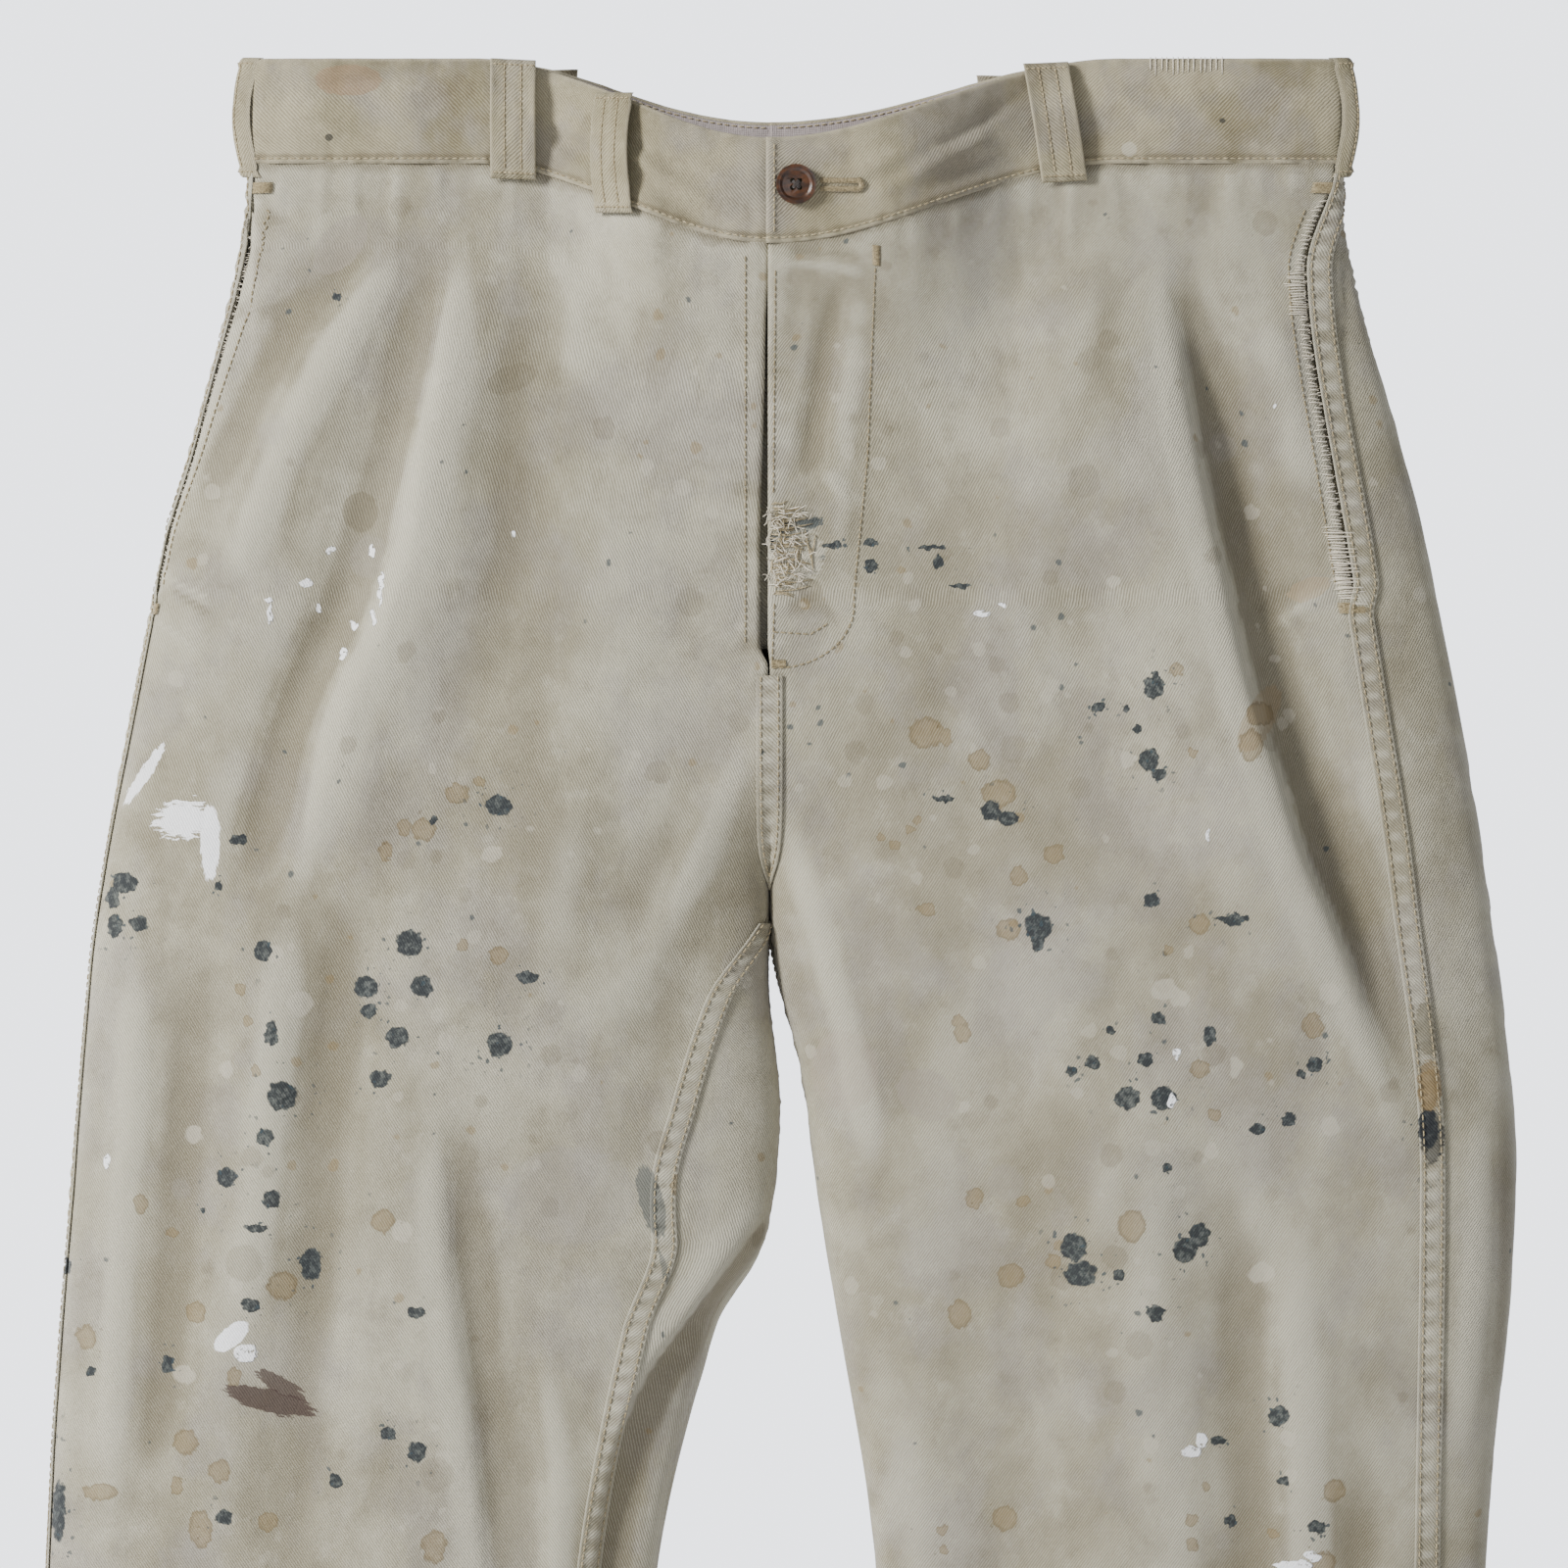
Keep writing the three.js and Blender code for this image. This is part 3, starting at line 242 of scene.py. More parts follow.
# ------------------------------------------------------------------ folds
def fold(points, height, left, right):
    """A raised line that runs down the cloth through (x, z) points, and fades out at both ends."""
    run = through(*[(z, x) for x, z in points])
    top, foot = points[0][1], points[-1][1]
    fade = 0.3 * (top - foot)

    def at(x, z):
        tilt = run(z - 2) / 4 - run(z + 2) / 4
        off = (x - run(z)) / np.sqrt(1 + tilt * tilt)
        along = ease((top - z) / fade) * ease((z - foot) / fade)
        return height * along * np.exp(-(off / np.where(off < 0, left, right) / SOFT) ** 2)
    return at


def crease(points, height, above, below):
    """The same for a line that runs across the cloth."""
    run = through(*points)
    start, end = points[0][0], points[-1][0]
    fade = 0.3 * (end - start)

    def at(x, z):
        off = z - run(x)
        along = ease((x - start) / fade) * ease((end - x) / fade)
        return height * along * np.exp(-(off / np.where(off < 0, below, above)) ** 2)
    return at


SOFT = 1.25
FRONT_FOLDS = [
    # the long drape from the left clip to the side seam: a crest, then the hollow beside it
    fold([(147, -58), (150, -95), (157, -134), (164, -173), (173, -215), (183, -261), (196, -302),
          (206, -334), (219, -365), (229, -396), (240, -430), (252, -470)], 7.2, 40, 7),
    fold([(160, -66), (164, -95), (171, -134), (178, -173), (188, -215), (199, -261), (212, -302),
          (222, -334), (235, -365), (245, -396), (254, -430)], -6.6, 8, 19),
    # soft ones beside it
    fold([(118, -60), (112, -120), (104, -190), (98, -270)], 1.6, 15, 18),
    fold([(96, -60), (84, -110), (74, -170)], -1.2, 10, 12),
    fold([(196, -100), (206, -140), (214, -190)], 1.4, 10, 8),
    fold([(60, -330), (80, -420), (92, -520), (98, -640), (104, -760)], -2.6, 22, 26),
    fold([(120, -380), (138, -470), (146, -560), (150, -660), (150, -780)], 2.8, 24, 20),
    fold([(176, -440), (184, -520), (188, -610), (186, -720)], -2.4, 16, 14),
    fold([(204, -470), (212, -560), (214, -650), (210, -760)], 2.2, 14, 12),
    fold([(30, -500), (44, -580), (56, -680), (64, -800)], 2.0, 14, 14),
    fold([(285, -420), (284, -500), (276, -600)], 1.6, 8, 6),
    # the right front, gathered towards its clip
    fold([(-151, -56), (-157, -108), (-168, -163), (-187, -215), (-204, -262), (-216, -305)], -4.2, 15, 9),
    fold([(-143, -54), (-139, -92), (-144, -125), (-152, -163), (-157, -200), (-170, -240), (-184, -275),
          (-196, -320), (-204, -380)], 4.2, 8, 20),
    fold([(-176, -62), (-196, -92), (-218, -124), (-238, -162), (-250, -200)], -3.0, 11, 10),
    fold([(-164, -66), (-182, -110), (-204, -150), (-224, -196), (-240, -240)], 2.6, 10, 10),
    fold([(-160, -184), (-178, -212), (-192, -240), (-208, -272), (-220, -312), (-228, -360)], -2.6, 9, 8),
    fold([(-122, -62), (-117, -110), (-118, -170), (-126, -240), (-140, -310)], -2.2, 14, 16),
    fold([(-100, -64), (-92, -108), (-90, -150)], 1.5, 9, 9),
    fold([(-84, -70), (-70, -104), (-62, -150)], -0.7, 9, 9),
    fold([(-56, -78), (-46, -108), (-42, -160)], 0.6, 9, 9),
    fold([(-70, -160), (-80, -240), (-98, -330), (-112, -430)], 1.6, 26, 24),
    fold([(-208, -330), (-214, -400), (-222, -480), (-228, -560)], 2.4, 12, 12),
    fold([(-180, -330), (-188, -400), (-196, -470), (-204, -560), (-212, -660)], -2.6, 14, 12),
    fold([(-151, -415), (-149, -480), (-145, -522), (-139, -560), (-134, -610), (-132, -680)], 2.4, 22, 5),
    fold([(-136, -430), (-132, -500), (-124, -570), (-118, -650)], -1.8, 8, 12),
    fold([(-104, -520), (-99, -580), (-98, -640), (-102, -720)], 1.6, 6, 8),
    fold([(-246, -360), (-252, -430), (-258, -520), (-264, -620)], -2.0, 10, 10),
    fold([(-272, -330), (-276, -420), (-282, -520), (-286, -640)], 1.8, 8, 8),
    fold([(-160, -560), (-166, -640), (-172, -740), (-178, -860)], 2.2, 16, 16),
    fold([(-230, -600), (-236, -700), (-240, -820)], 2.2, 16, 14),
    fold([(-200, -640), (-208, -760), (-214, -880)], -2.4, 14, 16),
    # short pale creases at the right hip
    crease([(-268, -214), (-254, -221), (-238, -227)], 0.9, 1.3, 2.6),
    crease([(-270, -234), (-258, -240), (-244, -249)], 0.9, 1.3, 2.6),
    crease([(-264, -220), (-252, -227), (-240, -233)], -0.6, 2.6, 1.6),
    crease([(-236, -60), (-222, -66), (-206, -68)], -0.8, 4, 4),
    crease([(-238, -102), (-222, -105), (-206, -104)], -0.6, 4, 4),
    # the back cloth that shows past the right inseam is folded along a line
    fold([(-6, -470), (-19, -495), (-40, -524), (-61, -553), (-72, -580), (-80, -625), (-86, -680)],
         -4.0, 2.2, 16),
    fold([(-12, -466), (-26, -493), (-47, -524), (-67, -553), (-78, -580), (-86, -625)], 1.6, 8, 2.6),
    # crotch
    fold([(-16, -262), (-30, -310), (-52, -360), (-80, -420)], 1.8, 9, 9),
    fold([(-4, -300), (6, -350), (22, -410), (34, -480)], 1.6, 8, 8),
    crease([(170, -236), (186, -230), (208, -222), (222, -214)], -0.6, 2.2, 4),
    crease([(184, -244), (200, -236), (214, -226), (226, -220)], 0.6, 2.2, 4),
    # lower legs
    fold([(130, -700), (134, -800), (136, -920), (136, -1060)], -2.2, 18, 18),
    fold([(176, -760), (178, -860), (178, -980)], 2.0, 16, 16),
    fold([(230, -560), (234, -680), (232, -820)], -1.8, 10, 12),
    fold([(-140, -760), (-146, -860), (-150, -990)], -2.0, 14, 16),
    fold([(-262, -740), (-270, -860), (-276, -1000)], 2.0, 12, 12),
]
BACK_FOLDS = [
    fold([(120, -60), (124, -130), (140, -210), (160, -290), (176, -380)], 3.4, 16, 14),
    fold([(96, -60), (92, -120), (84, -190)], -2.2, 12, 12),
    fold([(150, -60), (166, -130), (190, -220), (212, -330)], -2.8, 12, 14),
    fold([(-130, -60), (-136, -130), (-150, -210), (-172, -300), (-190, -400)], 3.2, 14, 14),
    fold([(-106, -60), (-98, -120), (-90, -190)], -2.0, 12, 12),
    fold([(-156, -60), (-176, -130), (-200, -220), (-222, -330)], -2.8, 12, 12),
    fold([(-11, -220), (-30, -290), (-60, -350), (-100, -420)], 3.0, 14, 14),
    fold([(-11, -220), (8, -290), (34, -350), (70, -420)], 3.0, 14, 14),
    fold([(-40, -330), (-70, -400), (-110, -480)], -2.4, 12, 12),
    fold([(20, -330), (48, -400), (86, -480)], -2.4, 12, 12),
    fold([(110, -420), (130, -540), (138, -680), (140, -820)], 2.8, 20, 18),
    fold([(180, -400), (196, -520), (200, -660)], -2.6, 16, 16),
    fold([(60, -520), (76, -640), (84, -780), (92, -940)], -2.2, 16, 16),
    fold([(220, -540), (226, -680), (222, -840)], 2.2, 14, 12),
    fold([(160, -760), (164, -880), (166, -1020)], -2.0, 16, 16),
    fold([(-130, -440), (-150, -560), (-164, -700), (-172, -860)], 2.8, 20, 20),
    fold([(-200, -400), (-216, -520), (-226, -680)], -2.6, 16, 16),
    fold([(-260, -480), (-270, -620), (-276, -780)], 2.0, 12, 12),
    fold([(-110, -560), (-124, -700), (-132, -860)], -2.2, 14, 14),
    fold([(-216, -760), (-226, -880), (-232, -1020)], 2.0, 18, 16),
    crease([(-240, -616), (-190, -600), (-130, -610)], 0.8, 10, 12),
    crease([(80, -600), (140, -588), (210, -606)], 0.8, 10, 12),
]
FOLD_DEPTH = 1.2
soft_hills, small_hills, gathers = Noise(3), Noise(5), Noise(11)


def wrinkles(x, z):
    """Soft unevenness all over, stretched down the cloth."""
    broad = soft_hills((x + 0.12 * z) / 34, z / 120)
    fine = small_hills((x - 0.2 * z) / 13, z / 34)
    return 0.9 * broad + 0.28 * fine


def folds(side, girth, point):
    """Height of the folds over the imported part's surface."""
    g = np.mod(girth, 2)
    x, z = point[..., 0], point[..., 2]
    front = sum(f(x, z) for f in FRONT_FOLDS)
    back = sum(f(x, z) for f in BACK_FOLDS)
    at_back = ease((g - 0.93) / 0.14) * ease((2.07 - g) / 0.14) + ease((0.07 - g) / 0.14)
    seam = Z_SEAM - sag(HALVES[side], x * HALVES[side]["sign"], g > 1)
    below_band = ease((seam - z) / 26)
    # puckers hang from the waistband seam and fade below it
    under = np.clip((seam - z) / 24, 0, 4)
    pucker = 1.15 * gathers(x / 4.4, 0.3 + z / 90) * np.clip(under * 3, 0, 1) * np.exp(-under * 1.3)
    fly = (1 - ease((np.abs(x - CENTRE_X - 12) - 30) / 26)) * ease((z - Z_FLY_FOOT + 20) / 30)
    calm = 1 - 0.75 * fly * (at_back < 0.5)
    return (FOLD_DEPTH * mix(front, back, at_back) * calm * below_band + wrinkles(x, z + 900 * at_back) * calm
            * mix(0.35, 1, below_band) + pucker * (0.3 + 0.7 * calm))


def surface(side, girth, z, lift=0.0):
    """Places on the folded cloth, lifted off it if asked."""
    g, z = np.broadcast_arrays(np.asarray(girth, float), np.asarray(z, float))
    point = skin(side, g, z)
    height = folds(side, g, point) + lift
    return point + skin_normal(side, g, z) * height[..., None]


# ------------------------------------------------------------------ lines on the surface
def uneased(t):
    """The inverse of ease."""
    return 0.5 - np.sin(np.arcsin(1 - 2 * t) / 3)


def seam_girth(side, z, inset, outer_edge):
    """The girth of a seam that lies some way in from a leg's edge, on the back if that is negative."""
    radius = oval_radius(HALVES[side], z, inset < 0)
    girth = uneased(np.arccos(1 - np.abs(inset) / radius) / np.pi)
    return 1 - girth if outer_edge else np.sign(inset) * girth


def outseam_girth(side, z):
    return seam_girth(side, z, HALVES[side]["outseam"](z), True)


def inseam_girth(side, z):
    return seam_girth(side, z, HALVES[side]["inseam"](z), False)


def walked(side, girth, z, distance, strides=16):
    """The girth reached by walking a distance round the body."""
    g = np.array(np.broadcast_arrays(girth, z)[0], float)
    for _ in range(strides):
        speed = np.linalg.norm(skin(side, g + 0.002, z) - skin(side, g - 0.002, z), axis=-1) / 0.004
        g = g + np.clip(distance / strides / np.maximum(speed, 20), -0.02, 0.02)
    return g


def girth_at(side, out, z, back):
    """The girth of the trunk's front or back at a distance out from x = 0."""
    low = 2 - centre_girth(z, True) if back else centre_girth(z, False)
    high = np.ones_like(np.asarray(z, float)) + 0 * low
    low = low + 0 * high
    for _ in range(36):
        middle = (low + high) / 2
        short = skin(side, middle, z)[..., 0] * HALVES[side]["sign"] < out
        low, high = np.where(short, middle, low), np.where(short, high, middle)
    return (low + high) / 2


def spread(side, z, start, end, count):
    """Girths evenly spaced between two edges, one row for each height."""
    share = np.linspace(0, 1, 200)
    dense = start[:, None] + (end - start)[:, None] * share
    points = skin(side, dense, z[:, None])
    lengths = np.linalg.norm(np.diff(points, axis=1), axis=-1)
    walk = np.concatenate([np.zeros((len(z), 1)), np.cumsum(lengths, axis=1)], axis=1)
    wanted = np.linspace(0, 1, count)
    return np.array([np.interp(wanted * w[-1], w, d) for w, d in zip(walk, dense)])


def mouth_pull(z):
    """How far a front pocket's mouth stands open at a height."""
    opening = np.minimum(np.clip((Z_MOUTH_TOP - z) / 9, 0, 1), np.clip((z - Z_MOUTH_FOOT) / 9, 0, 1))
    return MOUTH_GAP * opening


def drawn_back(z):
    """How far the cloth's free edge stands off its seam line at a pocket's mouth."""
    return 0.38 * mouth_pull(z)


def in_fly(z):
    """1 beside the fly, 0 above and below it."""
    return ease((Z_FLY_TOP + 6 - z) / 8) * ease((z - Z_FLY_FOOT) / 10)


# ------------------------------------------------------------------ meshes
TROUSERS = "trousers"


def thing(name, points, faces, finish, slot, uv=None, relief_shade_and_wear=None, body=TROUSERS, stands_for=()):
    """A piece from points in mm. Its uv map is in metres of cloth, and the last list gives each point's
    painted light and shade over folds, ripples and stitch grooves, with some wear at frayed and folded edges.
    """
    mesh = bpy.data.meshes.new(name)
    mesh.from_pydata((np.asarray(points, float) * MM).tolist(), [], faces)
    if uv is not None:
        corner = np.zeros(len(mesh.loops), int)
        mesh.loops.foreach_get("vertex_index", corner)
        mesh.uv_layers.new(name="cloth").data.foreach_set("uv", np.asarray(uv, float)[corner].ravel() * MM)
    if relief_shade_and_wear is not None:
        layer = mesh.attributes.new("relief_shade_and_wear", "FLOAT", "POINT")
        layer.data.foreach_set("value", np.asarray(relief_shade_and_wear, np.float32).ravel())
    mesh.shade_smooth()
    mesh.validate()
    mesh.materials.append(finish)
    piece = bpy.data.objects.new(name, mesh)
    bpy.context.scene.collection.objects.link(piece)
    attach(piece, body)
    if stands_for:
        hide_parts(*stands_for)
    return piece


def turned_out(quads, points, outward):
    """The same faces, turned if they point against the given directions."""
    a, b, c = (points[quads[:, k]] for k in (0, 1, 2))
    facing = (np.cross(b - a, c - a) * outward[quads[:, 0]]).sum()
    return quads[:, ::-1] if facing < 0 else quads


def cloth(name, outer, inner, finish, slot, relief_shade_and_wear=None, left_out=None, anchor=0, **more):
    """A closed sheet between two grids of points, rows by columns, without the cells that are left out.

    Its yarns are measured across from the anchor column."""
    rows, cols = outer.shape[:2]
    under = rows * cols
    points = np.concatenate([outer.reshape(-1, 3), inner.reshape(-1, 3)])
    at = np.arange(under).reshape(rows, cols)
    cells = np.stack([at[:-1, :-1], at[:-1, 1:], at[1:, 1:], at[1:, :-1]], -1)
    cells = cells.reshape(-1, 4) if left_out is None else cells[~left_out]
    cells = turned_out(cells, points, np.tile((outer - inner).reshape(-1, 3), (2, 1)))
    begin, finish_at = cells.ravel(), np.roll(cells, -1, axis=1).ravel()
    rim = ~np.isin(begin * under + finish_at, finish_at * under + begin)
    begin, finish_at = begin[rim], finish_at[rim]
    edge = np.stack([finish_at, begin, begin + under, finish_at + under], -1)
    faces = np.concatenate([cells, cells[:, ::-1] + under, edge]).tolist()
    strides = np.cumsum(np.linalg.norm(np.diff(outer, axis=1), axis=-1), axis=1)
    across = np.concatenate([np.zeros((rows, 1)), strides], axis=1)
    uv = np.stack([across - across[:, anchor][:, None], outer[..., 2]], -1).reshape(-1, 2)
    relief_shade_and_wear = np.broadcast_to(0.0 if relief_shade_and_wear is None else relief_shade_and_wear, (rows, cols)).ravel()
    return thing(name, points, faces, finish, slot, np.tile(uv, (2, 1)), np.tile(relief_shade_and_wear, 2), **more)


def strap(name, rings, finish, slot, relief_shade_and_wear=None, **more):
    """A closed strip from rings of points: its length by the points round its section."""
    count, around = rings.shape[:2]
    points = rings.reshape(-1, 3)
    at = np.arange(count * around).reshape(count, around)
    nxt = np.roll(at, -1, axis=1)
    quads = np.stack([at[:-1], nxt[:-1], nxt[1:], at[1:]], -1).reshape(-1, 4)
    away = (rings - rings.mean(axis=1, keepdims=True)).reshape(-1, 3)
    turned = turned_out(quads, points, away)
    ends = [at[0].tolist(), at[-1, ::-1].tolist()]
    if turned is quads:
        ends = [end[::-1] for end in ends]
    run = np.concatenate([[0], np.cumsum(np.linalg.norm(np.diff(rings[:, 0], axis=0), axis=-1))])
    girth = np.linspace(0, 1, around) * np.linalg.norm(np.diff(rings[0], axis=0), axis=-1).sum()
    uv = np.stack(np.broadcast_arrays(girth[None, :], run[:, None]), -1).reshape(-1, 2)
    relief_shade_and_wear = np.broadcast_to(0.0 if relief_shade_and_wear is None else relief_shade_and_wear, (count, around))
    return thing(name, points, turned.tolist() + ends, finish, slot, uv, relief_shade_and_wear, **more)


def section(width, thick, count=12, corner=None):
    """Round a strip's section: places across it, and lifts off its middle."""
    corner = corner or thick / 2
    across = width / 2 * np.sin(np.linspace(-np.pi / 2, np.pi / 2, count))
    inset = np.clip((width / 2 - np.abs(across)) / corner, 0, 1)
    lift = thick / 2 * np.sqrt(1 - (1 - inset) ** 2)
    return np.concatenate([across, across[-2:0:-1]]), np.concatenate([lift, -lift[-2:0:-1]])


def high_pass(height, reach=7):
    """How far each point stands over its neighbours along and across the sheet."""
    padded = np.pad(height, reach, mode="edge")
    kernel = np.ones(2 * reach + 1) / (2 * reach + 1)
    blurred = np.apply_along_axis(np.convolve, 1, padded, kernel, "valid")
    blurred = np.apply_along_axis(np.convolve, 0, blurred, kernel, "valid")
    return height - blurred


# ------------------------------------------------------------------ finishes
class Value:
    """A node's output: sums written with it add the Math nodes they stand for."""

    def __init__(self, finish, socket):
        self.finish, self.socket = finish, socket

    def sum_of(self, operation, first, second):
        return self.finish.node("ShaderNodeMath", {"operation": operation}, {0: first, 1: second})

    def __add__(self, other):
        return self.sum_of("ADD", self, other)

    def __radd__(self, other):
        return self.sum_of("ADD", other, self)

    def __sub__(self, other):
        return self.sum_of("SUBTRACT", self, other)

    def __rsub__(self, other):
        return self.sum_of("SUBTRACT", other, self)

    def __mul__(self, other):
        return self.sum_of("MULTIPLY", self, other)

    def __rmul__(self, other):
        return self.sum_of("MULTIPLY", other, self)

    def least(self, other):
        return self.sum_of("MINIMUM", self, other)

    def wave(self):
        return self.finish.node("ShaderNodeMath", {"operation": "SINE"}, {0: self})


class Finish:
    """A material whose pattern is made of nodes."""

    def __init__(self, name, roughness=0.9, metallic=0.0, sheen=0.0, coat=0.0):
        self.material = bpy.data.materials.new(name)
        self.material.use_nodes = True
        self.tree = self.material.node_tree
        self.shader = self.tree.nodes["Principled BSDF"]
        self.set("Roughness", roughness)
        self.set("Metallic", metallic)
        self.set("Sheen Weight", sheen)
        self.set("Sheen Roughness", 0.6)
        self.set("Coat Weight", coat)
        self.place = self.node("ShaderNodeVectorMath", {"operation": "SCALE"},
                               {0: self.node("ShaderNodeTexCoord", output="Object"), "Scale": 1 / MM})

    def set(self, socket, value):
        self.fill(self.shader.inputs[socket], value)

    def fill(self, socket, value):
        if isinstance(value, Value):
            self.tree.links.new(value.socket, socket)
        else:
            socket.default_value = value

    def node(self, kind, settings=None, sockets=None, output=0):
        node = self.tree.nodes.new(kind)
        for name, value in (settings or {}).items():
            setattr(node, name, value)
        for name, value in (sockets or {}).items():
            self.fill(node.inputs[name], value)
        return Value(self, node.outputs[output])

    def vector(self, operation, first, second, third=(0, 0, 0)):
        sockets = {0: first, 1: second}
        if operation == "MULTIPLY_ADD":
            sockets[2] = third
        return self.node("ShaderNodeVectorMath", {"operation": operation}, sockets)

    def cloth_place(self):
        """Places on the cloth itself, in mm across and up."""
        uv = self.node("ShaderNodeUVMap", {"uv_map": "cloth"})
        return self.vector("MULTIPLY", uv, (1 / MM, 1 / MM, 1 / MM))

    def attribute(self, name):
        return self.node("ShaderNodeAttribute", {"attribute_name": name}, output="Fac")

    def parts(self, vector):
        split = self.node("ShaderNodeSeparateXYZ", {}, {0: vector})
        outputs = split.socket.node.outputs
        return [Value(self, outputs[k]) for k in range(3)]

    def noise(self, place, size, detail=2.0, roughness=0.5, stretch=(1, 1, 1), colour=False):
        """Soft random hills about size mm across, from 0 to 1."""
        scaled = self.vector("MULTIPLY", place, tuple(s / size for s in stretch))
        return self.node("ShaderNodeTexNoise", {}, {"Vector": scaled, "Scale": 1.0, "Detail": detail,
                                                   "Roughness": roughness},
                         output="Color" if colour else "Fac")

    def step(self, value, low, high):
        """0 below low, 1 above high; the other way round if low is the higher."""
        return self.node("ShaderNodeMapRange", {"interpolation_type": "SMOOTHSTEP", "clamp": True},
                         {"Value": value, "From Min": low, "From Max": high})

    def blend(self, share, first, second):
        """From one colour to another."""
        first, second = (c if isinstance(c, Value) else (*c, 1.0) for c in (first, second))
        return self.node("ShaderNodeMix", {"data_type": "RGBA"}, {0: share, 6: first, 7: second}, output=2)

    def warped(self, amount, size):
        """The place, pushed about at random, so that edges drawn with it are uneven."""
        push = self.noise(self.place, size, 2.0, colour=True)
        centred = self.vector("SUBTRACT", push, (0.5, 0.5, 0.5))
        return self.vector("MULTIPLY_ADD", centred, (2 * amount,) * 3, self.place)

    def ovals(self, place, marks):
        """How far outside the nearest oval (x, z, half width, half height) a place is: 1 on its edge."""
        field = None
        for x, z, wide, high in marks:
            near = self.vector("MULTIPLY_ADD", place, (1 / wide, 0, 1 / high), (-x / wide, 0, -z / high))
            length = self.node("ShaderNodeVectorMath", {"operation": "LENGTH"}, {0: near}, output="Value")
            field = length if field is None else field.least(length)
        return field

    def specks(self, place, spacing, size, share):
        """Fine random drops: about one in every spacing mm square, for a share of the squares."""
        scaled = self.vector("MULTIPLY", place, (1 / spacing,) * 3)
        cells = self.node("ShaderNodeTexVoronoi", {}, {"Vector": scaled, "Scale": 1.0})
        node = cells.socket.node
        red, green, _ = self.parts(Value(self, node.outputs["Color"]))
        radius = red * (size / spacing)
        inside = self.step(Value(self, node.outputs["Distance"]) - radius, 0.03, -0.03)
        return inside * self.step(green, share, share - 0.01)

    def bump(self, height, depth, normal=None):
        """Unevenness from a height from 0 to 1, as deep as depth mm."""
        sockets = {"Height": height, "Strength": 1.0, "Distance": depth * MM}
        if normal is not None:
            sockets["Normal"] = normal
        return self.node("ShaderNodeBump", {}, sockets)


def srgb(red, green, blue):
    """A colour given as on a screen, from 0 to 255."""
    return tuple(((c / 255 + 0.055) / 1.055) ** 2.4 for c in (red, green, blue))


KHAKI, KHAKI_LIGHT, KHAKI_DARK = srgb(157, 151, 128), srgb(193, 189, 170), srgb(102, 93, 70)
OLIVE, GREYED = srgb(134, 127, 98), srgb(152, 147, 139)
SLATE, INK, OCHRE, BROWN = srgb(48, 62, 68), srgb(20, 25, 29), srgb(126, 104, 58), srgb(84, 70, 42)
PALE, CHALK, MAROON = srgb(192, 186, 168), srgb(250, 251, 252), srgb(60, 42, 36)

# Paint marks as ovals: x, z, half width, half height, in mm.
SLATE_RIGHT = [
    (-160, -369, 5.6, 5.4), (-178, -387, 4.8, 4.6), (-155, -387, 4.4, 4.4), (-177, -397, 3.2, 3),
    (-165, -408, 4.8, 4.2), (-123, -411, 5, 5.4), (-213, -432, 5.8, 6), (-221, -372, 4, 4.2),
    (-220, -449, 3.6, 3.4), (-217, -406, 2.6, 5), (-236, -466, 4, 3.8), (-217, -475, 3.6, 3.8),
    (-172, -425, 4, 3.8), (-231, -326, 4, 2.4), (-279, -344, 5, 4), (-284, -350, 3, 4.4),
    (-283, -362, 3, 5), (-273, -361, 4, 3.2), (-111, -383, 4.6, 2.6), (-123, -312, 5.2, 4.2),
    (-201, -502, 4.4, 6.4), (-226, -519, 3.4, 3), (-157, -522, 3.4, 2.2), (-169, -572, 3, 2.8),
    (-157, -580, 3.4, 4.4), (-191, -592, 2.8, 3.2), (-237, -607, 3.4, 3.2), (-293, -547, 2.2, 2),
    (-261, -544, 2.4, 3.4), (-307, -606, 3, 13), (-305, -504, 3, 4), (-224, -487, 5, 1.6),
    (-246, -480, 1.6, 1.4), (-191, -100, 1.6, 1.6), (-239, -345, 1.6, 2.2), (-150, -318, 1.6, 1.6),
]
OCHRE_RIGHT = [
    (-171, -484, 5, 5), (-249, -522, 4.4, 4.6), (-295, -533, 4.4, 5.2), (-253, -576, 5.4, 5.4),
    (-289, -597, 7.5, 3.6), (-239, -588, 4.8, 4.8), (-219, -609, 4.2, 4), (-247, -612, 5, 8),
    (-257, -594, 2.6, 4), (-233, -549, 3, 4), (-272, -477, 2.8, 4.6), (-140, -307, 5, 4.2),
    (-154, -322, 5, 4.6), (-162, -321, 3, 3.8), (-170, -331, 3, 4), (-123, -374, 4, 4),
    (-138, -370, 2.6, 2.4), (-230, -388, 2.4, 2.6), (-227, -401, 2, 2.2), (-213, -511, 6.4, 6),
    (-150, -619, 5, 7), (-259, -489, 2.6, 2.2), (-224, -422, 2, 2.8), (-48, -470, 4, 5),
    (-131, -302, 3, 2.2),
]
WHITE_RIGHT = [
    (-219, -226, 2.6, 1), (-218, -232, 1.4, 4.4), (-203, -219, 2, 1.8), (-184, -237, 1.8, 1.7),
    (-172, -222, 0.9, 7), (-175, -234, 1, 3), (-193, -206, 1.6, 1.2), (-188, -249, 1.2, 2.2),
    (-198, -230, 1, 1.4), (-286, -460, 1.6, 2.6), (-117, -199, 0.8, 1.4), (-228, -539, 5, 3.4),
    (-176, -206, 0.8, 3),
]
PALE_RIGHT = [
    (-205, -394, 5.4, 5.2), (-254, -548, 5.4, 4.4), (-126, -332, 4.4, 3.6), (-250, -448, 4, 4),
    (-163, -488, 4.6, 5.4), (-236, -421, 3.4, 4),
]
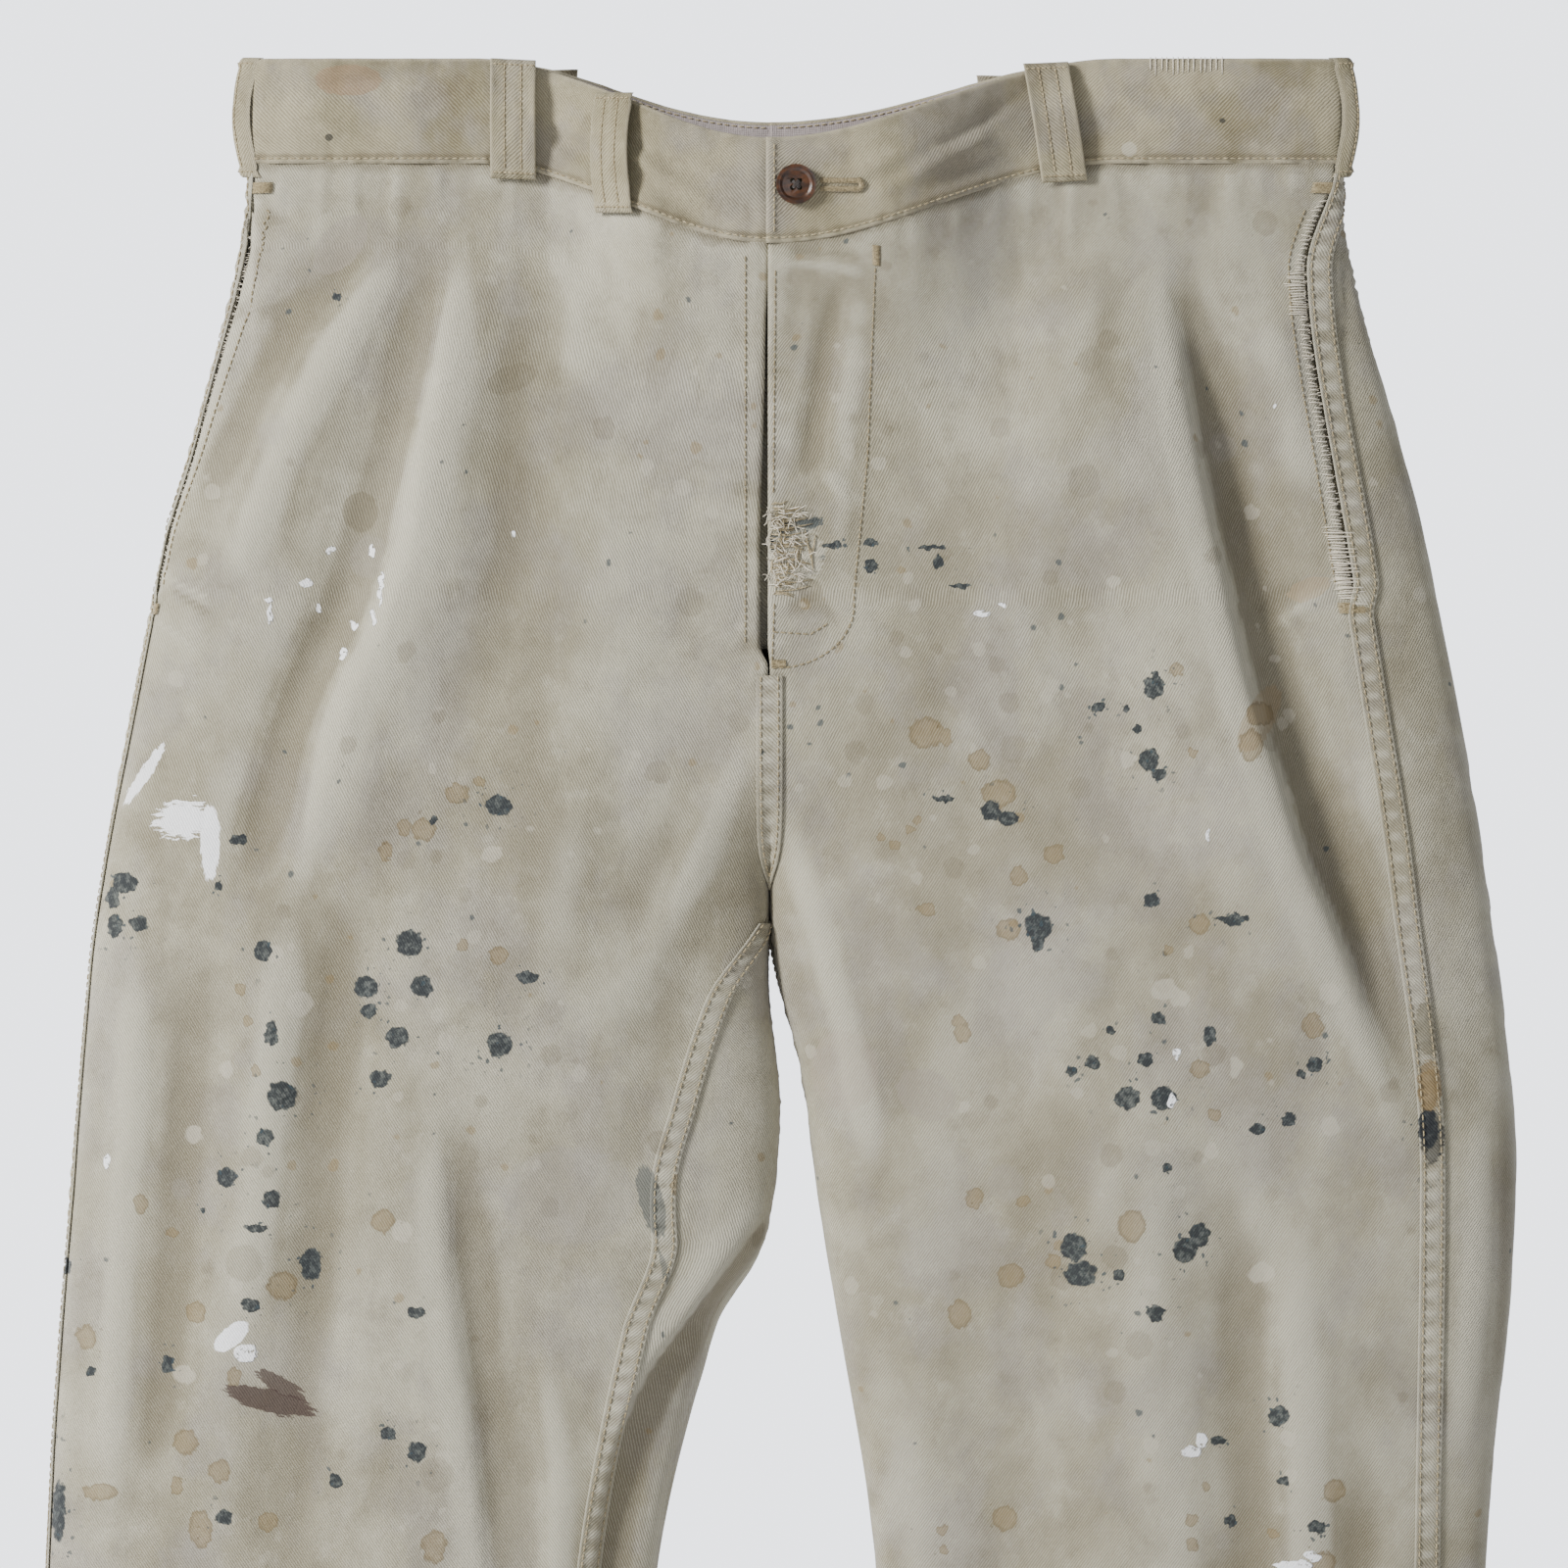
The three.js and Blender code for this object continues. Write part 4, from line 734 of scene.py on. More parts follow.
SLATE_LEFT = [
    (61, -309, 4.4, 1.5), (88, -317, 4, 3), (81, -314, 4, 4), (100, -362, 5.6, 5.4),
    (100, -368, 2.6, 4.6), (148, -263, 4.2, 4.6), (149, -259, 2, 2.2), (125, -271, 2.6, 2.6),
    (137, -272, 1.6, 1.5), (141, -280, 1.8, 1.8), (146, -293, 4, 4.6), (150, -299, 2.8, 2.4),
    (180, -359, 7, 1.6), (181, -359, 3.6, 3), (150, -400, 2.8, 2.8), (130, -405, 1.6, 1.6),
    (123, -418, 2.8, 3.4), (114, -422, 2.2, 2), (145, -417, 3.2, 3), (137, -433, 5, 4.8),
    (152, -433, 4.8, 4.8), (171, -407, 2.8, 4), (215, -419, 3.4, 3.4), (209, -423, 1.8, 1.8),
    (204, -442, 3, 3), (191, -446, 2.6, 2.6), (154, -462, 2, 2.2), (161, -496, 5, 5), (167, -490, 4.2, 5),
    (115, -495, 5.4, 5.6), (118, -506, 6.4, 5.4), (134, -506, 2.6, 2.4), (149, -522, 3.6, 3.4),
    (200, -565, 4.2, 4.2), (175, -575, 3.4, 1.8), (202, -592, 2.6, 2), (216, -611, 3.8, 2.6),
    (180, -609, 2.2, 2.4), (280, -457, 2.6, 2.2), (287, -464, 4, 2.8), (294, -428, 2, 3),
    (296, -506, 2.4, 5), (147, -351, 3.2, 3), (-3, -198, 4, 3.4), (15, -204, 4, 1.4), (31, -203, 3, 2),
    (31, -213, 2.6, 2.8), (56, -205, 6, 1.2), (59, -211, 2.2, 3), (68, -221, 4, 0.9), (-9, -203, 2, 4),
    (64, -309, 1.6, 1.2), (262, -446, 4, 8),
]
OCHRE_LEFT = [
    (54, -282, 7.4, 6.4), (62, -284, 3, 4), (76, -293, 4.6, 4.4), (157, -256, 3, 3), (192, -274, 6.4, 5),
    (188, -287, 5, 7), (164, -290, 2.4, 2.4), (92, -341, 3.6, 4.4), (107, -332, 4, 3.8),
    (88, -363, 5, 4.8), (54, -355, 4, 3), (35, -325, 1.9, 2), (41, -328, 2.4, 2.2), (47, -322, 2, 2),
    (50, -318, 1.6, 1.6), (167, -361, 4.4, 4), (154, -372, 2.2, 2.2), (167, -421, 4, 3.6),
    (214, -403, 4.6, 5.2), (173, -440, 2.8, 3), (139, -486, 5.8, 7), (107, -501, 3.4, 3.2),
    (89, -507, 5.6, 5.2), (68, -523, 5, 6), (74, -475, 3.8, 4.2), (94, -476, 2.8, 2.6),
    (223, -596, 4.8, 4.8), (164, -608, 3, 2.8), (164, -618, 2.6, 3), (87, -608, 5.2, 5.4),
    (219, -626, 5, 5), (290, -503, 4, 5.6), (69, -406, 3.4, 4.6), (67, -401, 3, 2.4),
    (61, -613, 2.4, 2.2), (61, -621, 2.2, 2.2), (262, -430, 4, 9), (84, -307, 7, 6), (198, -614, 2.4, 2),
    (170, -594, 2, 2),
]
WHITE_LEFT = [
    (77, -232, 3.4, 1.2), (85, -229, 1.2, 0.9), (158, -415, 1.4, 2.2), (156, -434, 1.6, 3),
    (164, -580, 4, 2.6), (168, -575, 2.4, 3.2), (206, -627, 8, 1.8), (214, -623, 3, 2),
    (170, -324, 0.9, 2.8), (199, -146, 0.9, 1.4),
]
PALE_LEFT = [
    (153, -388, 6, 4.8), (159, -392, 4, 3.6), (221, -390, 4.4, 4.6), (221, -445, 4.4, 4.2),
    (193, -506, 5.4, 4.4), (172, -455, 3, 4), (139, -37, 3.2, 3), (204, -574, 3.4, 3), (131, -219, 3, 3),
    (138, -293, 3.4, 3.4), (182, -420, 3, 5), (70, -437, 3, 3),
]


TWILL_STEP = 1.2                                      # from one slanting rib to the next
PLAIN_YARN = 6.8                                      # turns of a plain weave's wave to a mm


class Cotton(Finish):
    """Woven cotton: fine slanting or straight yarns, faded and grubby in patches, with painted light and
    shade over its folds and crumples.
    """

    def __init__(self, name, base, light, dark, twill=True, fade=1.0):
        super().__init__(name, roughness=0.92, sheen=0.1)
        across, up, _ = self.parts(self.cloth_place())
        jitter = self.noise(self.place, 1.8, 2.0)
        if twill:
            slant = (across - up * 0.7) * (2 * math.pi / TWILL_STEP)
            yarn = (slant + jitter * 3.0).wave() * 0.5 + 0.5
            thread = self.noise(self.cloth_place(), 1.0, 3.0, 0.75, (1.3, 0.7, 1))
        else:
            yarn = ((across * PLAIN_YARN).wave() + (up * PLAIN_YARN).wave()) * 0.25 + 0.5
            thread = self.noise(self.cloth_place(), 1.4, 1.0, stretch=(0.5, 1.6, 1))
        weave = yarn * 0.5 + thread * 0.5
        patch = self.noise(self.place, 90, 4.0, 0.6, (1, 0.4, 0.6))
        cloud = self.noise(self.vector("ADD", self.place, (310, 0, 120)), 46, 4.0, 0.66, (1, 0.4, 0.8))
        mottle = self.noise(self.place, 15, 5.0, 0.7)
        crumple = self.noise(self.warped(12, 50), 44, 5.0, 0.6, (1, 0.4, 0.85))
        painted_shade_and_wear = self.attribute("relief_shade_and_wear")
        tone = self.blend(self.step(patch, 0.42, 0.62) * (0.62 * fade), base, light)
        tone = self.blend(self.step(patch, 0.5, 0.32) * (0.3 * fade), tone, dark)
        tone = self.blend(self.step(cloud, 0.46, 0.62) * (0.62 * fade), tone, GREYED)
        tone = self.blend(self.step(mottle, 0.5, 0.72) * (0.36 * fade), tone, dark)
        tone = self.blend(self.step(mottle, 0.48, 0.3) * (0.42 * fade), tone, light)
        # lighter on the crumple bump's crests and darker in its hollows: painted light and shade over that
        # bump
        tone = self.blend(self.step(crumple, 0.5, 0.64) * (0.3 * fade), tone, light)
        tone = self.blend(self.step(crumple, 0.5, 0.38) * (0.3 * fade), tone, dark)
        # lighter where the value is above 0: painted highlights on fold crests, seam ripples and raised
        # middles, and faded folded edges; darker below 0: painted shade in fold hollows, stitch grooves and
        # under the waistband
        tone = self.blend(self.step(painted_shade_and_wear, 0.05, 0.9) * 0.8, tone, light)
        tone = self.blend(self.step(painted_shade_and_wear, -0.05, -0.9) * 0.66, tone, dark)
        tone = self.blend(self.step(weave, 0.56, 0.22) * 0.5, tone, dark)
        self.colour = self.blend(self.step(weave, 0.52, 0.86) * 0.42, tone, light)
        rough = self.bump(mottle, 0.5, self.bump(crumple, 1.6))
        self.grain = self.bump(weave, 0.26, rough)

    def done(self):
        self.set("Base Color", self.colour)
        self.set("Normal", self.grain)
        return self.material

    def stain(self, share, colour):
        self.colour = self.blend(share, self.colour, colour)

    def on_front(self):
        """1 on the front of the trousers, 0 on the back."""
        return self.step(self.parts(self.place)[1], 6.0, 0.0)


def painted(cotton, slate, ochre, white, pale):
    """Adds the paint to a front: drops with darker rims, thin stains, chalky flakes and fine spatter.

    The flakes are given back, because they stand proud."""
    at_front = cotton.on_front()
    edge = cotton.warped(2.1, 3.0)
    rough_edge = cotton.warped(2.6, 5.0)
    body = cotton.noise(cotton.place, 2.4, 4.0, 0.65)
    cotton.stain(cotton.step(cotton.ovals(rough_edge, pale), 1.08, 0.8) * at_front * 0.5, PALE)
    tan = cotton.ovals(edge, ochre)
    cover = cotton.step(tan, 1.08, 0.9) * at_front
    cotton.stain(cover * (0.3 + body * 0.34), OCHRE)
    cotton.stain(cover * cotton.step(tan, 0.66, 0.98) * 0.42, BROWN)
    near = cotton.step(tan, 3.0, 1.2)
    spatter = cotton.specks(rough_edge, 3.7, 0.7, 0.3) * near
    cotton.stain(spatter * at_front * 0.5, BROWN)
    dark = cotton.ovals(edge, slate)
    cover = cotton.step(dark, 1.1, 0.94) * at_front
    cotton.stain(cover * (0.66 + body * 0.34), SLATE)
    cotton.stain(cover * cotton.step(body, 0.34, 0.56) * 0.78, INK)
    near = cotton.step(dark, 4.4, 1.2)
    spatter = cotton.specks(rough_edge, 2.9, 0.95, 0.5) * near
    cotton.stain(spatter * at_front * 0.86, SLATE)
    flakes = cotton.step(cotton.ovals(rough_edge, white), 1.12, 0.96) * at_front
    flakes = flakes * cotton.step(cotton.noise(cotton.place, 1.5, 2.0), 0.3, 0.42)
    cotton.stain(flakes * 0.97, CHALK)
    return flakes


def spattered(cotton, share):
    """Fine random dots of several paints all over, and pale dots where drops were taken off by rubbing."""
    uneven = cotton.warped(1.6, 4.0)
    for spacing, size, cover, colour, shift in (
            (11, 1.5, 0.75, SLATE, (0, 0, 0)), (15, 2.6, 0.46, OCHRE, (41, 17, 29)),
            (14, 3.8, 0.34, PALE, (-23, 61, 11)), (21, 5.6, 0.26, BROWN, (77, -31, 53)),
            (33, 10.0, 0.22, GREYED, (-57, 23, 91)), (27, 8.0, 0.26, KHAKI_DARK, (13, -71, 37))):
        cotton.stain(cotton.specks(cotton.vector("ADD", uneven, shift), spacing, size, share) * cover, colour)


def slanted(cotton, x, z, turn):
    """Places about a point, turned by an angle: along and across a stroke."""
    moved = cotton.vector("SUBTRACT", cotton.warped(0.9, 3.0), (x, 0, z))
    return cotton.node("ShaderNodeVectorRotate", {"rotation_type": "Y_AXIS"},
                       {"Vector": moved, "Angle": math.radians(turn)})


def brushed(cotton, x, z, turn, wide, high, colour, cover, dryness=0.5, along=(0.1, 1, 1)):
    """A stroke of a nearly dry brush, which leaves bare streaks along its way: paint, or painted shade where
    one lies in a fold's hollow.
    """
    place = slanted(cotton, x, z, turn)
    field = cotton.ovals(place, [(0, 0, wide, high)])
    bristles = cotton.noise(place, 1.6, 3.0, 0.6, along)
    inside = cotton.step(field + bristles * dryness, 1.0 + dryness * 0.42, 0.9 + dryness * 0.42)
    at_front = cotton.on_front()
    cotton.stain(inside * at_front * cover, colour)


# Strokes: x, z, turn in degrees, half width, half height, colour, cover, dryness, and the bristles' way.
STROKES_UNDER = {
    "right": [
        (-187, -9, 0, 16, 9, srgb(150, 122, 92), 0.4, 0.3),
        # the next two darker patches lie along the hollows of two folds on the right front: painted shade
        (-181, -190, 0, 8, 9, KHAKI_DARK, 0.5, 0.2),
        (-118, -135, 20, 12, 6, KHAKI_DARK, 0.34, 0.3),
        (-190, -78, 50, 16, 9, srgb(150, 142, 130), 0.5, 0.3),
    ],
    "left": [
        (20, -422, 10, 15, 18, srgb(160, 148, 132), 0.34, 0.25),
        (54, -432, -30, 14, 11, srgb(150, 142, 130), 0.4, 0.25),
        (192, -276, 60, 17, 7, srgb(142, 120, 84), 0.4, 0.4),
        (213, -222, 20, 10, 5, srgb(158, 140, 110), 0.5, 0.4),
    ],
}
STROKES_OVER = {
    "right": [
        (-254, -318, 0, 14, 9, CHALK, 0.95, 1.5, (0.1, 1, 1.2)),
        (-243, -327, 0, 4.6, 17, CHALK, 0.97, 0.6, (1.3, 1, 0.14)),
        (-271, -299, -34, 2.8, 17, CHALK, 0.96, 0.9, (1.3, 1, 0.16)),
        (-234, -532, 40, 9.5, 4.4, CHALK, 0.97, 0.25),
        (-218, -559, -16, 21, 5.4, MAROON, 0.86, 0.9, (0.12, 1, 1.2)),
        (-214, -552, -30, 13, 4, MAROON, 0.8, 1.1, (0.12, 1, 1.2)),
        (-60, -476, 14, 5.5, 17, SLATE, 0.62, 0.5, (1, 1, 0.3)),
        (-41, -473, -20, 5, 8, SLATE, 0.66, 1.1, (0.4, 1, 0.4)),
        (-54, -506, 16, 1.6, 11, SLATE, 0.5, 0.4),
        (-94, -474, 0, 30, 22, GREYED, 0.3, 0.3),
    ],
    "left": [
        (262, -404, 4, 6, 13, srgb(104, 98, 78), 0.62, 0.9),
        (263, -428, 0, 6, 12, srgb(128, 104, 62), 0.62, 0.9),
        (264, -449, 0, 6, 12, INK, 0.72, 0.9),
        (277, -424, 4, 2, 19, srgb(104, 104, 84), 0.5, 0.7, (1, 1, 0.2)),
        (270, -400, -8, 5, 12, srgb(150, 132, 92), 0.35, 0.3),
        (2, -197, 20, 11, 3.4, SLATE, 0.8, 1.0, (0.4, 1, 1)),
        (-2, -204, 0, 9, 3.2, INK, 0.72, 1.4, (0.5, 1, 1)),
        (0, -208, 0, 13, 13, KHAKI_LIGHT, 0.5, 0.9, (0.3, 1, 1)),
    ],
}
DROPS = {
    "right": (SLATE_RIGHT, OCHRE_RIGHT, WHITE_RIGHT, PALE_RIGHT),
    "left": (SLATE_LEFT, OCHRE_LEFT, WHITE_LEFT, PALE_LEFT),
}


def front_cloth(side):
    """The twill of a front: spatter, brush strokes, the drops placed one by one, and strokes over them."""
    cotton = Cotton(f"twill {side} leg", KHAKI, KHAKI_LIGHT, KHAKI_DARK)
    spattered(cotton, {"right": 0.2, "left": 0.26}[side])
    for stroke in STROKES_UNDER[side]:
        brushed(cotton, *stroke)
    flakes = painted(cotton, *DROPS[side])
    for stroke in STROKES_OVER[side]:
        brushed(cotton, *stroke)
    cotton.grain = cotton.bump(flakes, 0.5, cotton.grain)
    return cotton.done()


def back_cloth():
    cotton = Cotton("twill back", KHAKI, KHAKI_LIGHT, KHAKI_DARK)
    spattered(cotton, 0.16)
    return cotton.done()


def band_cloth():
    cotton = Cotton("twill waistband", OLIVE, srgb(186, 177, 150), srgb(88, 76, 50))
    brushed(cotton, -187, -9, 0, 15, 7, srgb(142, 112, 82), 0.5, 0.3)
    dots = cotton.ovals(cotton.warped(0.4, 2), [(-195, -33, 1.7, 1.5), (178, -26, 1.3, 1.1)])
    cotton.stain(cotton.step(dots, 1.05, 0.9) * 0.75, INK)
    drop = cotton.ovals(cotton.warped(0.6, 3), [(139, -38, 3.3, 3.1)])
    cotton.stain(cotton.step(drop, 1.05, 0.9) * 0.5, PALE)
    return cotton.done()


def plain_cotton(name, base, light, dark):
    return Cotton(name, base, light, dark, twill=False, fade=0.6).done()


def thread_finish(name, base, light):
    finish = Finish(name, roughness=0.85, sheen=0.2)
    strand = finish.noise(finish.place, 0.7, 2.0)
    finish.set("Base Color", finish.blend(finish.step(strand, 0.3, 0.7), base, light))
    finish.set("Normal", finish.bump(strand, 0.12))
    return finish.material


def horn_finish():
    finish = Finish("brown horn", roughness=0.3, coat=0.25)
    finish.set("Coat Roughness", 0.12)
    clouds = finish.noise(finish.place, 5.0, 4.0, 0.6, (1, 1, 2.2))
    tone = finish.blend(finish.step(clouds, 0.35, 0.68), srgb(40, 22, 9), srgb(78, 44, 16))
    finish.set("Base Color", tone)
    scratches = finish.noise(finish.place, 0.8, 3.0)
    finish.set("Roughness", 0.27 + scratches * 0.16)
    finish.set("Normal", finish.bump(scratches, 0.03))
    return finish.material


def brass_finish():
    finish = Finish("dull brass", roughness=0.38, metallic=1.0)
    tarnish = finish.noise(finish.place, 3.0, 4.0, 0.6)
    tone = finish.blend(finish.step(tarnish, 0.35, 0.7), srgb(176, 146, 84), srgb(104, 80, 46))
    finish.set("Base Color", tone)
    finish.set("Roughness", 0.26 + tarnish * 0.3)
    finish.set("Normal", finish.bump(finish.noise(finish.place, 0.5, 2.0), 0.02))
    return finish.material


twill = {"right": front_cloth("right"), "left": front_cloth("left")}
twill_back = back_cloth()
band_twill = band_cloth()
lining = plain_cotton("cotton lining", srgb(158, 147, 145), srgb(184, 174, 172), srgb(112, 100, 96))
pocketing = plain_cotton("pocket cloth", srgb(196, 188, 172), srgb(210, 203, 188), srgb(166, 156, 138))
tape_cloth = plain_cotton("zip tape", srgb(158, 148, 124), srgb(172, 163, 140), srgb(128, 118, 96))
thread = thread_finish("khaki thread", srgb(128, 112, 78), srgb(186, 172, 136))
tan_thread = thread_finish("tan thread", srgb(108, 94, 62), srgb(166, 151, 114))
pale_thread = thread_finish("pale thread", srgb(196, 186, 164), srgb(220, 213, 196))
dark_thread = thread_finish("dark thread", srgb(34, 28, 26), srgb(66, 56, 50))
horn = horn_finish()
brass = brass_finish()


# ------------------------------------------------------------------ threads
THREAD_SIDES, THREAD_ENDS = 6, 0.45                   # sides of a thread, and how thin its ends are
STITCH_THICK, STITCH_PROUD = 0.62, 0.2
THREAD_POINTS = 5                                     # along each stitch


def tubes(name, paths, ups, thick, finish, slot, **more):
    """Many short threads: paths is threads by points, ups the way off the cloth at each."""
    count, steps = paths.shape[:2]
    along = np.gradient(paths, axis=1)
    along /= np.maximum(np.linalg.norm(along, axis=-1, keepdims=True), 1e-9)
    aside = np.cross(along, ups)
    aside /= np.maximum(np.linalg.norm(aside, axis=-1, keepdims=True), 1e-9)
    over = np.cross(aside, along)
    radius = np.full(steps, thick / 2)
    radius[[0, -1]] *= THREAD_ENDS
    turn = np.linspace(0, 2 * np.pi, THREAD_SIDES, endpoint=False)
    ring = (aside[:, :, None] * np.cos(turn)[:, None] + over[:, :, None] * np.sin(turn)[:, None])
    points = (paths[:, :, None] + ring * radius[:, None, None]).reshape(-1, 3)
    at = np.arange(count * steps * THREAD_SIDES).reshape(count, steps, THREAD_SIDES)
    nxt = np.roll(at, -1, axis=2)
    quads = np.stack([at[:, :-1], nxt[:, :-1], nxt[:, 1:], at[:, 1:]], -1).reshape(-1, 4)
    turned = turned_out(quads, points, ring.reshape(-1, 3))
    caps = np.concatenate([at[:, 0], at[:, -1, ::-1]])
    if turned is quads:
        caps = caps[:, ::-1]
    return thing(name, points, turned.tolist() + caps.tolist(), finish, slot, **more)


def stitch_row(points, normals, length=2.3, space=0.8):
    """Threads of machine stitches along a line of points: their paths and the ways off the cloth."""
    run = np.concatenate([[0], np.cumsum(np.linalg.norm(np.diff(points, axis=0), axis=-1))])
    starts = np.arange(0.4, run[-1] - length, length + space)
    shares = np.array([0, 0.14, 0.5, 0.86, 1.0])
    places = starts[:, None] + shares * length

    def at(table):
        return np.stack([np.interp(places, run, table[:, k]) for k in range(3)], -1)
    ups = at(normals)
    ups /= np.linalg.norm(ups, axis=-1, keepdims=True)
    rise = np.array([-0.3, 0.6, 1.0, 0.6, -0.3]) * STITCH_PROUD
    return at(points) + ups * rise[:, None], ups


def sewn(name, rows, finish=None):
    """One piece of all the stitches of several (paths, ups) rows."""
    paths = np.concatenate([row[0] for row in rows])
    ups = np.concatenate([row[1] for row in rows])
    tubes(name, paths, ups, STITCH_THICK, finish or thread, "seam_thread")


def bar(start, middle, end, up):
    """A hand stitch from start to end, over a middle point, with five points."""
    points = np.stack([start, mix(start, middle, 0.55), middle, mix(middle, end, 0.45), end])
    return points + np.outer([-0.2, 0.25, 0.4, 0.25, -0.2], up)


def hand_sewn(name, bars, finish, thick=0.5, slot="seam_thread", **more):
    """One piece of separate threads, each five points with the way off the cloth."""
    paths = np.array([b for b, _ in bars])
    ups = np.array([np.broadcast_to(up, (THREAD_POINTS, 3)) for _, up in bars])
    return tubes(name, paths, ups, thick, finish, slot, **more)


# ------------------------------------------------------------------ panels
VISIBLE_FOOT = -640.0                                 # finer rows above this height
ROWS = np.concatenate([np.arange(Z_SEAM + 4, VISIBLE_FOOT, -2.2), np.linspace(VISIBLE_FOOT, Z_HEM, 66)])
COLUMNS = 128
CUT = 1.25                                            # thickness of the cloth


def inner_edge(side, z, back):
    """The girth of a panel's inner edge: the centre line, and the inseam below the crotch."""
    trunk = centre_girth(z, back)
    leg = inseam_girth(side, np.minimum(z, Z_CROTCH - 0.01))
    return np.where(z > Z_CROTCH, trunk, leg)


def grid_heights(side, girth, z, lift):
    """How high a panel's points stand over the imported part."""
    return folds(side, girth, skin(side, girth, z)) + lift


def tuck(z):
    """The panels' tops go in behind the waistband."""
    return -0.6 * ease((z - Z_SEAM + 3) / 6)


FLY_FOLDS = [
    fold([(17, -84), (12, -120), (6, -165), (3, -190)], -1.3, 5, 5),
    fold([(9, -84), (5, -120), (-1, -160), (-3, -190)], 0.6, 4, 4),
    fold([(27, -88), (22, -150), (18, -200), (14, -236)], 0.8, 6, 5),
    crease([(-9, -87), (12, -88), (31, -91)], 0.9, 2, 3),
    crease([(-9, -83), (12, -83), (31, -85)], -0.8, 2, 2),
    crease([(-6, -180), (12, -176), (26, -186)], 0.8, 5, 5),
    crease([(-8, -232), (6, -228), (22, -236)], -0.8, 5, 5),
]


def fly_gap(z):
    """The fly's two sides stand apart most near its foot."""
    return in_fly(z) * (0.35 + 0.65 * ease((Z_FLY_TOP - 40 - z) / 90)) * ease((Z_FLY_TOP - 4 - z) / 40)


def fly_relief(side, x, z):
    """The left front laps over the right one at the fly, which dips away beside it."""
    if side == "left":
        edge = np.exp(-((x - CENTRE_X) / 9) ** 2)
        buckle = sum(f(x, z) for f in FLY_FOLDS)
        sewn_places = np.exp(-((x - CENTRE_X - 3) / 5) ** 2) + 0.7 * np.exp(-((x - 28) / 7) ** 2)
        pulled = 0.55 * gathers(z / 4.6, 1.7 + x / 34) * sewn_places * in_fly(z)
        return 0.9 * edge * in_fly(z) + pulled + buckle * ease((x - CENTRE_X) / 6)
    off = CENTRE_X - x
    dip = -2.4 * np.exp(-(off / 13) ** 2) * fly_gap(z)
    roll = 0.5 * np.exp(-((off - 6.0) / 2.2) ** 2)
    pulled = 0.6 * gathers(z / 5.2, 5.1 + x / 34) * np.exp(-((off - 9) / 11) ** 2)
    return dip + (roll + pulled) * in_fly(z)


def front_lift(side, girth, z):
    x = skin(side, girth, z)[..., 0]
    return fly_relief(side, x, z) + tuck(z)


def front_panel(side):
    start = inner_edge(side, ROWS, False)
    start = walked(side, start, ROWS, np.where(ROWS > Z_CROTCH, 0, GAP / 2))
    hung = sagged(side, start, ROWS)
    drawn_in = {"right": 3.4 * fly_gap(hung) + 0.4, "left": -0.8 * in_fly(hung)}[side]
    start = walked(side, start, ROWS, drawn_in)
    seam = outseam_girth(side, ROWS)
    end = walked(side, seam, ROWS, -(GAP / 2 + drawn_back(ROWS)))
    g = spread(side, ROWS, start, end, COLUMNS)
    level = ROWS[:, None]
    z = sagged(side, g, level)
    lift = fly_relief(side, skin(side, g, z)[..., 0], z) + tuck(level)
    outer, inner = surface(side, g, z, lift), surface(side, g, z, lift - CUT)
    height = grid_heights(side, g, z, lift)
    # lighter on fold crests and darker in their hollows, from the folds' height: painted light and shade
    relief_shade_and_wear = np.clip(high_pass(height) / 0.8, -1, 1)
    edge_share = np.linspace(0, 1, COLUMNS)
    frayed = ease((edge_share - 0.965) / 0.03) * (mouth_pull(level) > 3)
    # darker in a narrow band just below the waistband seam: a painted shadow under the waistband
    band_shadow = np.exp(-((Z_SEAM - 1.2 - level) / 2.0) ** 2)
    relief_shade_and_wear = np.clip(relief_shade_and_wear * 0.8 + frayed * 0.8 - band_shadow, -1, 1)
    piece = cloth(f"{side}_front_cloth", outer, inner, twill[side], "twill", relief_shade_and_wear, anchor=-1,
                  stands_for=[f"{side}_front_panel"])


def back_panel(side):
    sign = HALVES[side]["sign"]
    start = walked(side, outseam_girth(side, ROWS), ROWS, GAP / 2)
    inner = inner_edge(side, ROWS, True)
    end = np.where(ROWS > Z_CROTCH, 2 - inner, 2 + inner)
    end = walked(side, end, ROWS, np.where(ROWS > Z_CROTCH, 0, -GAP / 2))
    g = spread(side, ROWS, start, end, COLUMNS)
    level = ROWS[:, None]
    z = sagged(side, g, level)
    lift = tuck(np.broadcast_to(level, g.shape))
    outer, under = surface(side, g, z, lift), surface(side, g, z, lift - CUT)
    # lighter on fold crests and darker in their hollows: painted light and shade
    relief_shade_and_wear = np.clip(high_pass(grid_heights(side, g, z, lift)) / 0.8, -1, 1) * 0.8
    middle = (outer[1:, 1:] + outer[:-1, :-1]) / 2
    near = sign * CENTRE_X + BACK_MOUTH + 1
    far = near + BACK_MOUTH_WIDTH - 2
    out = middle[..., 0] * sign
    slit = (np.abs(middle[..., 2] - Z_BACK_MOUTH) < 2.4) & (out > near) & (out < far) & (middle[..., 1] > 8)
    piece = cloth(f"{side}_back_cloth", outer, under, twill_back, "twill", relief_shade_and_wear, left_out=slit,
                  stands_for=[f"{side}_back_panel"])


# ------------------------------------------------------------------ waistband
BAND_LAP = 1.6
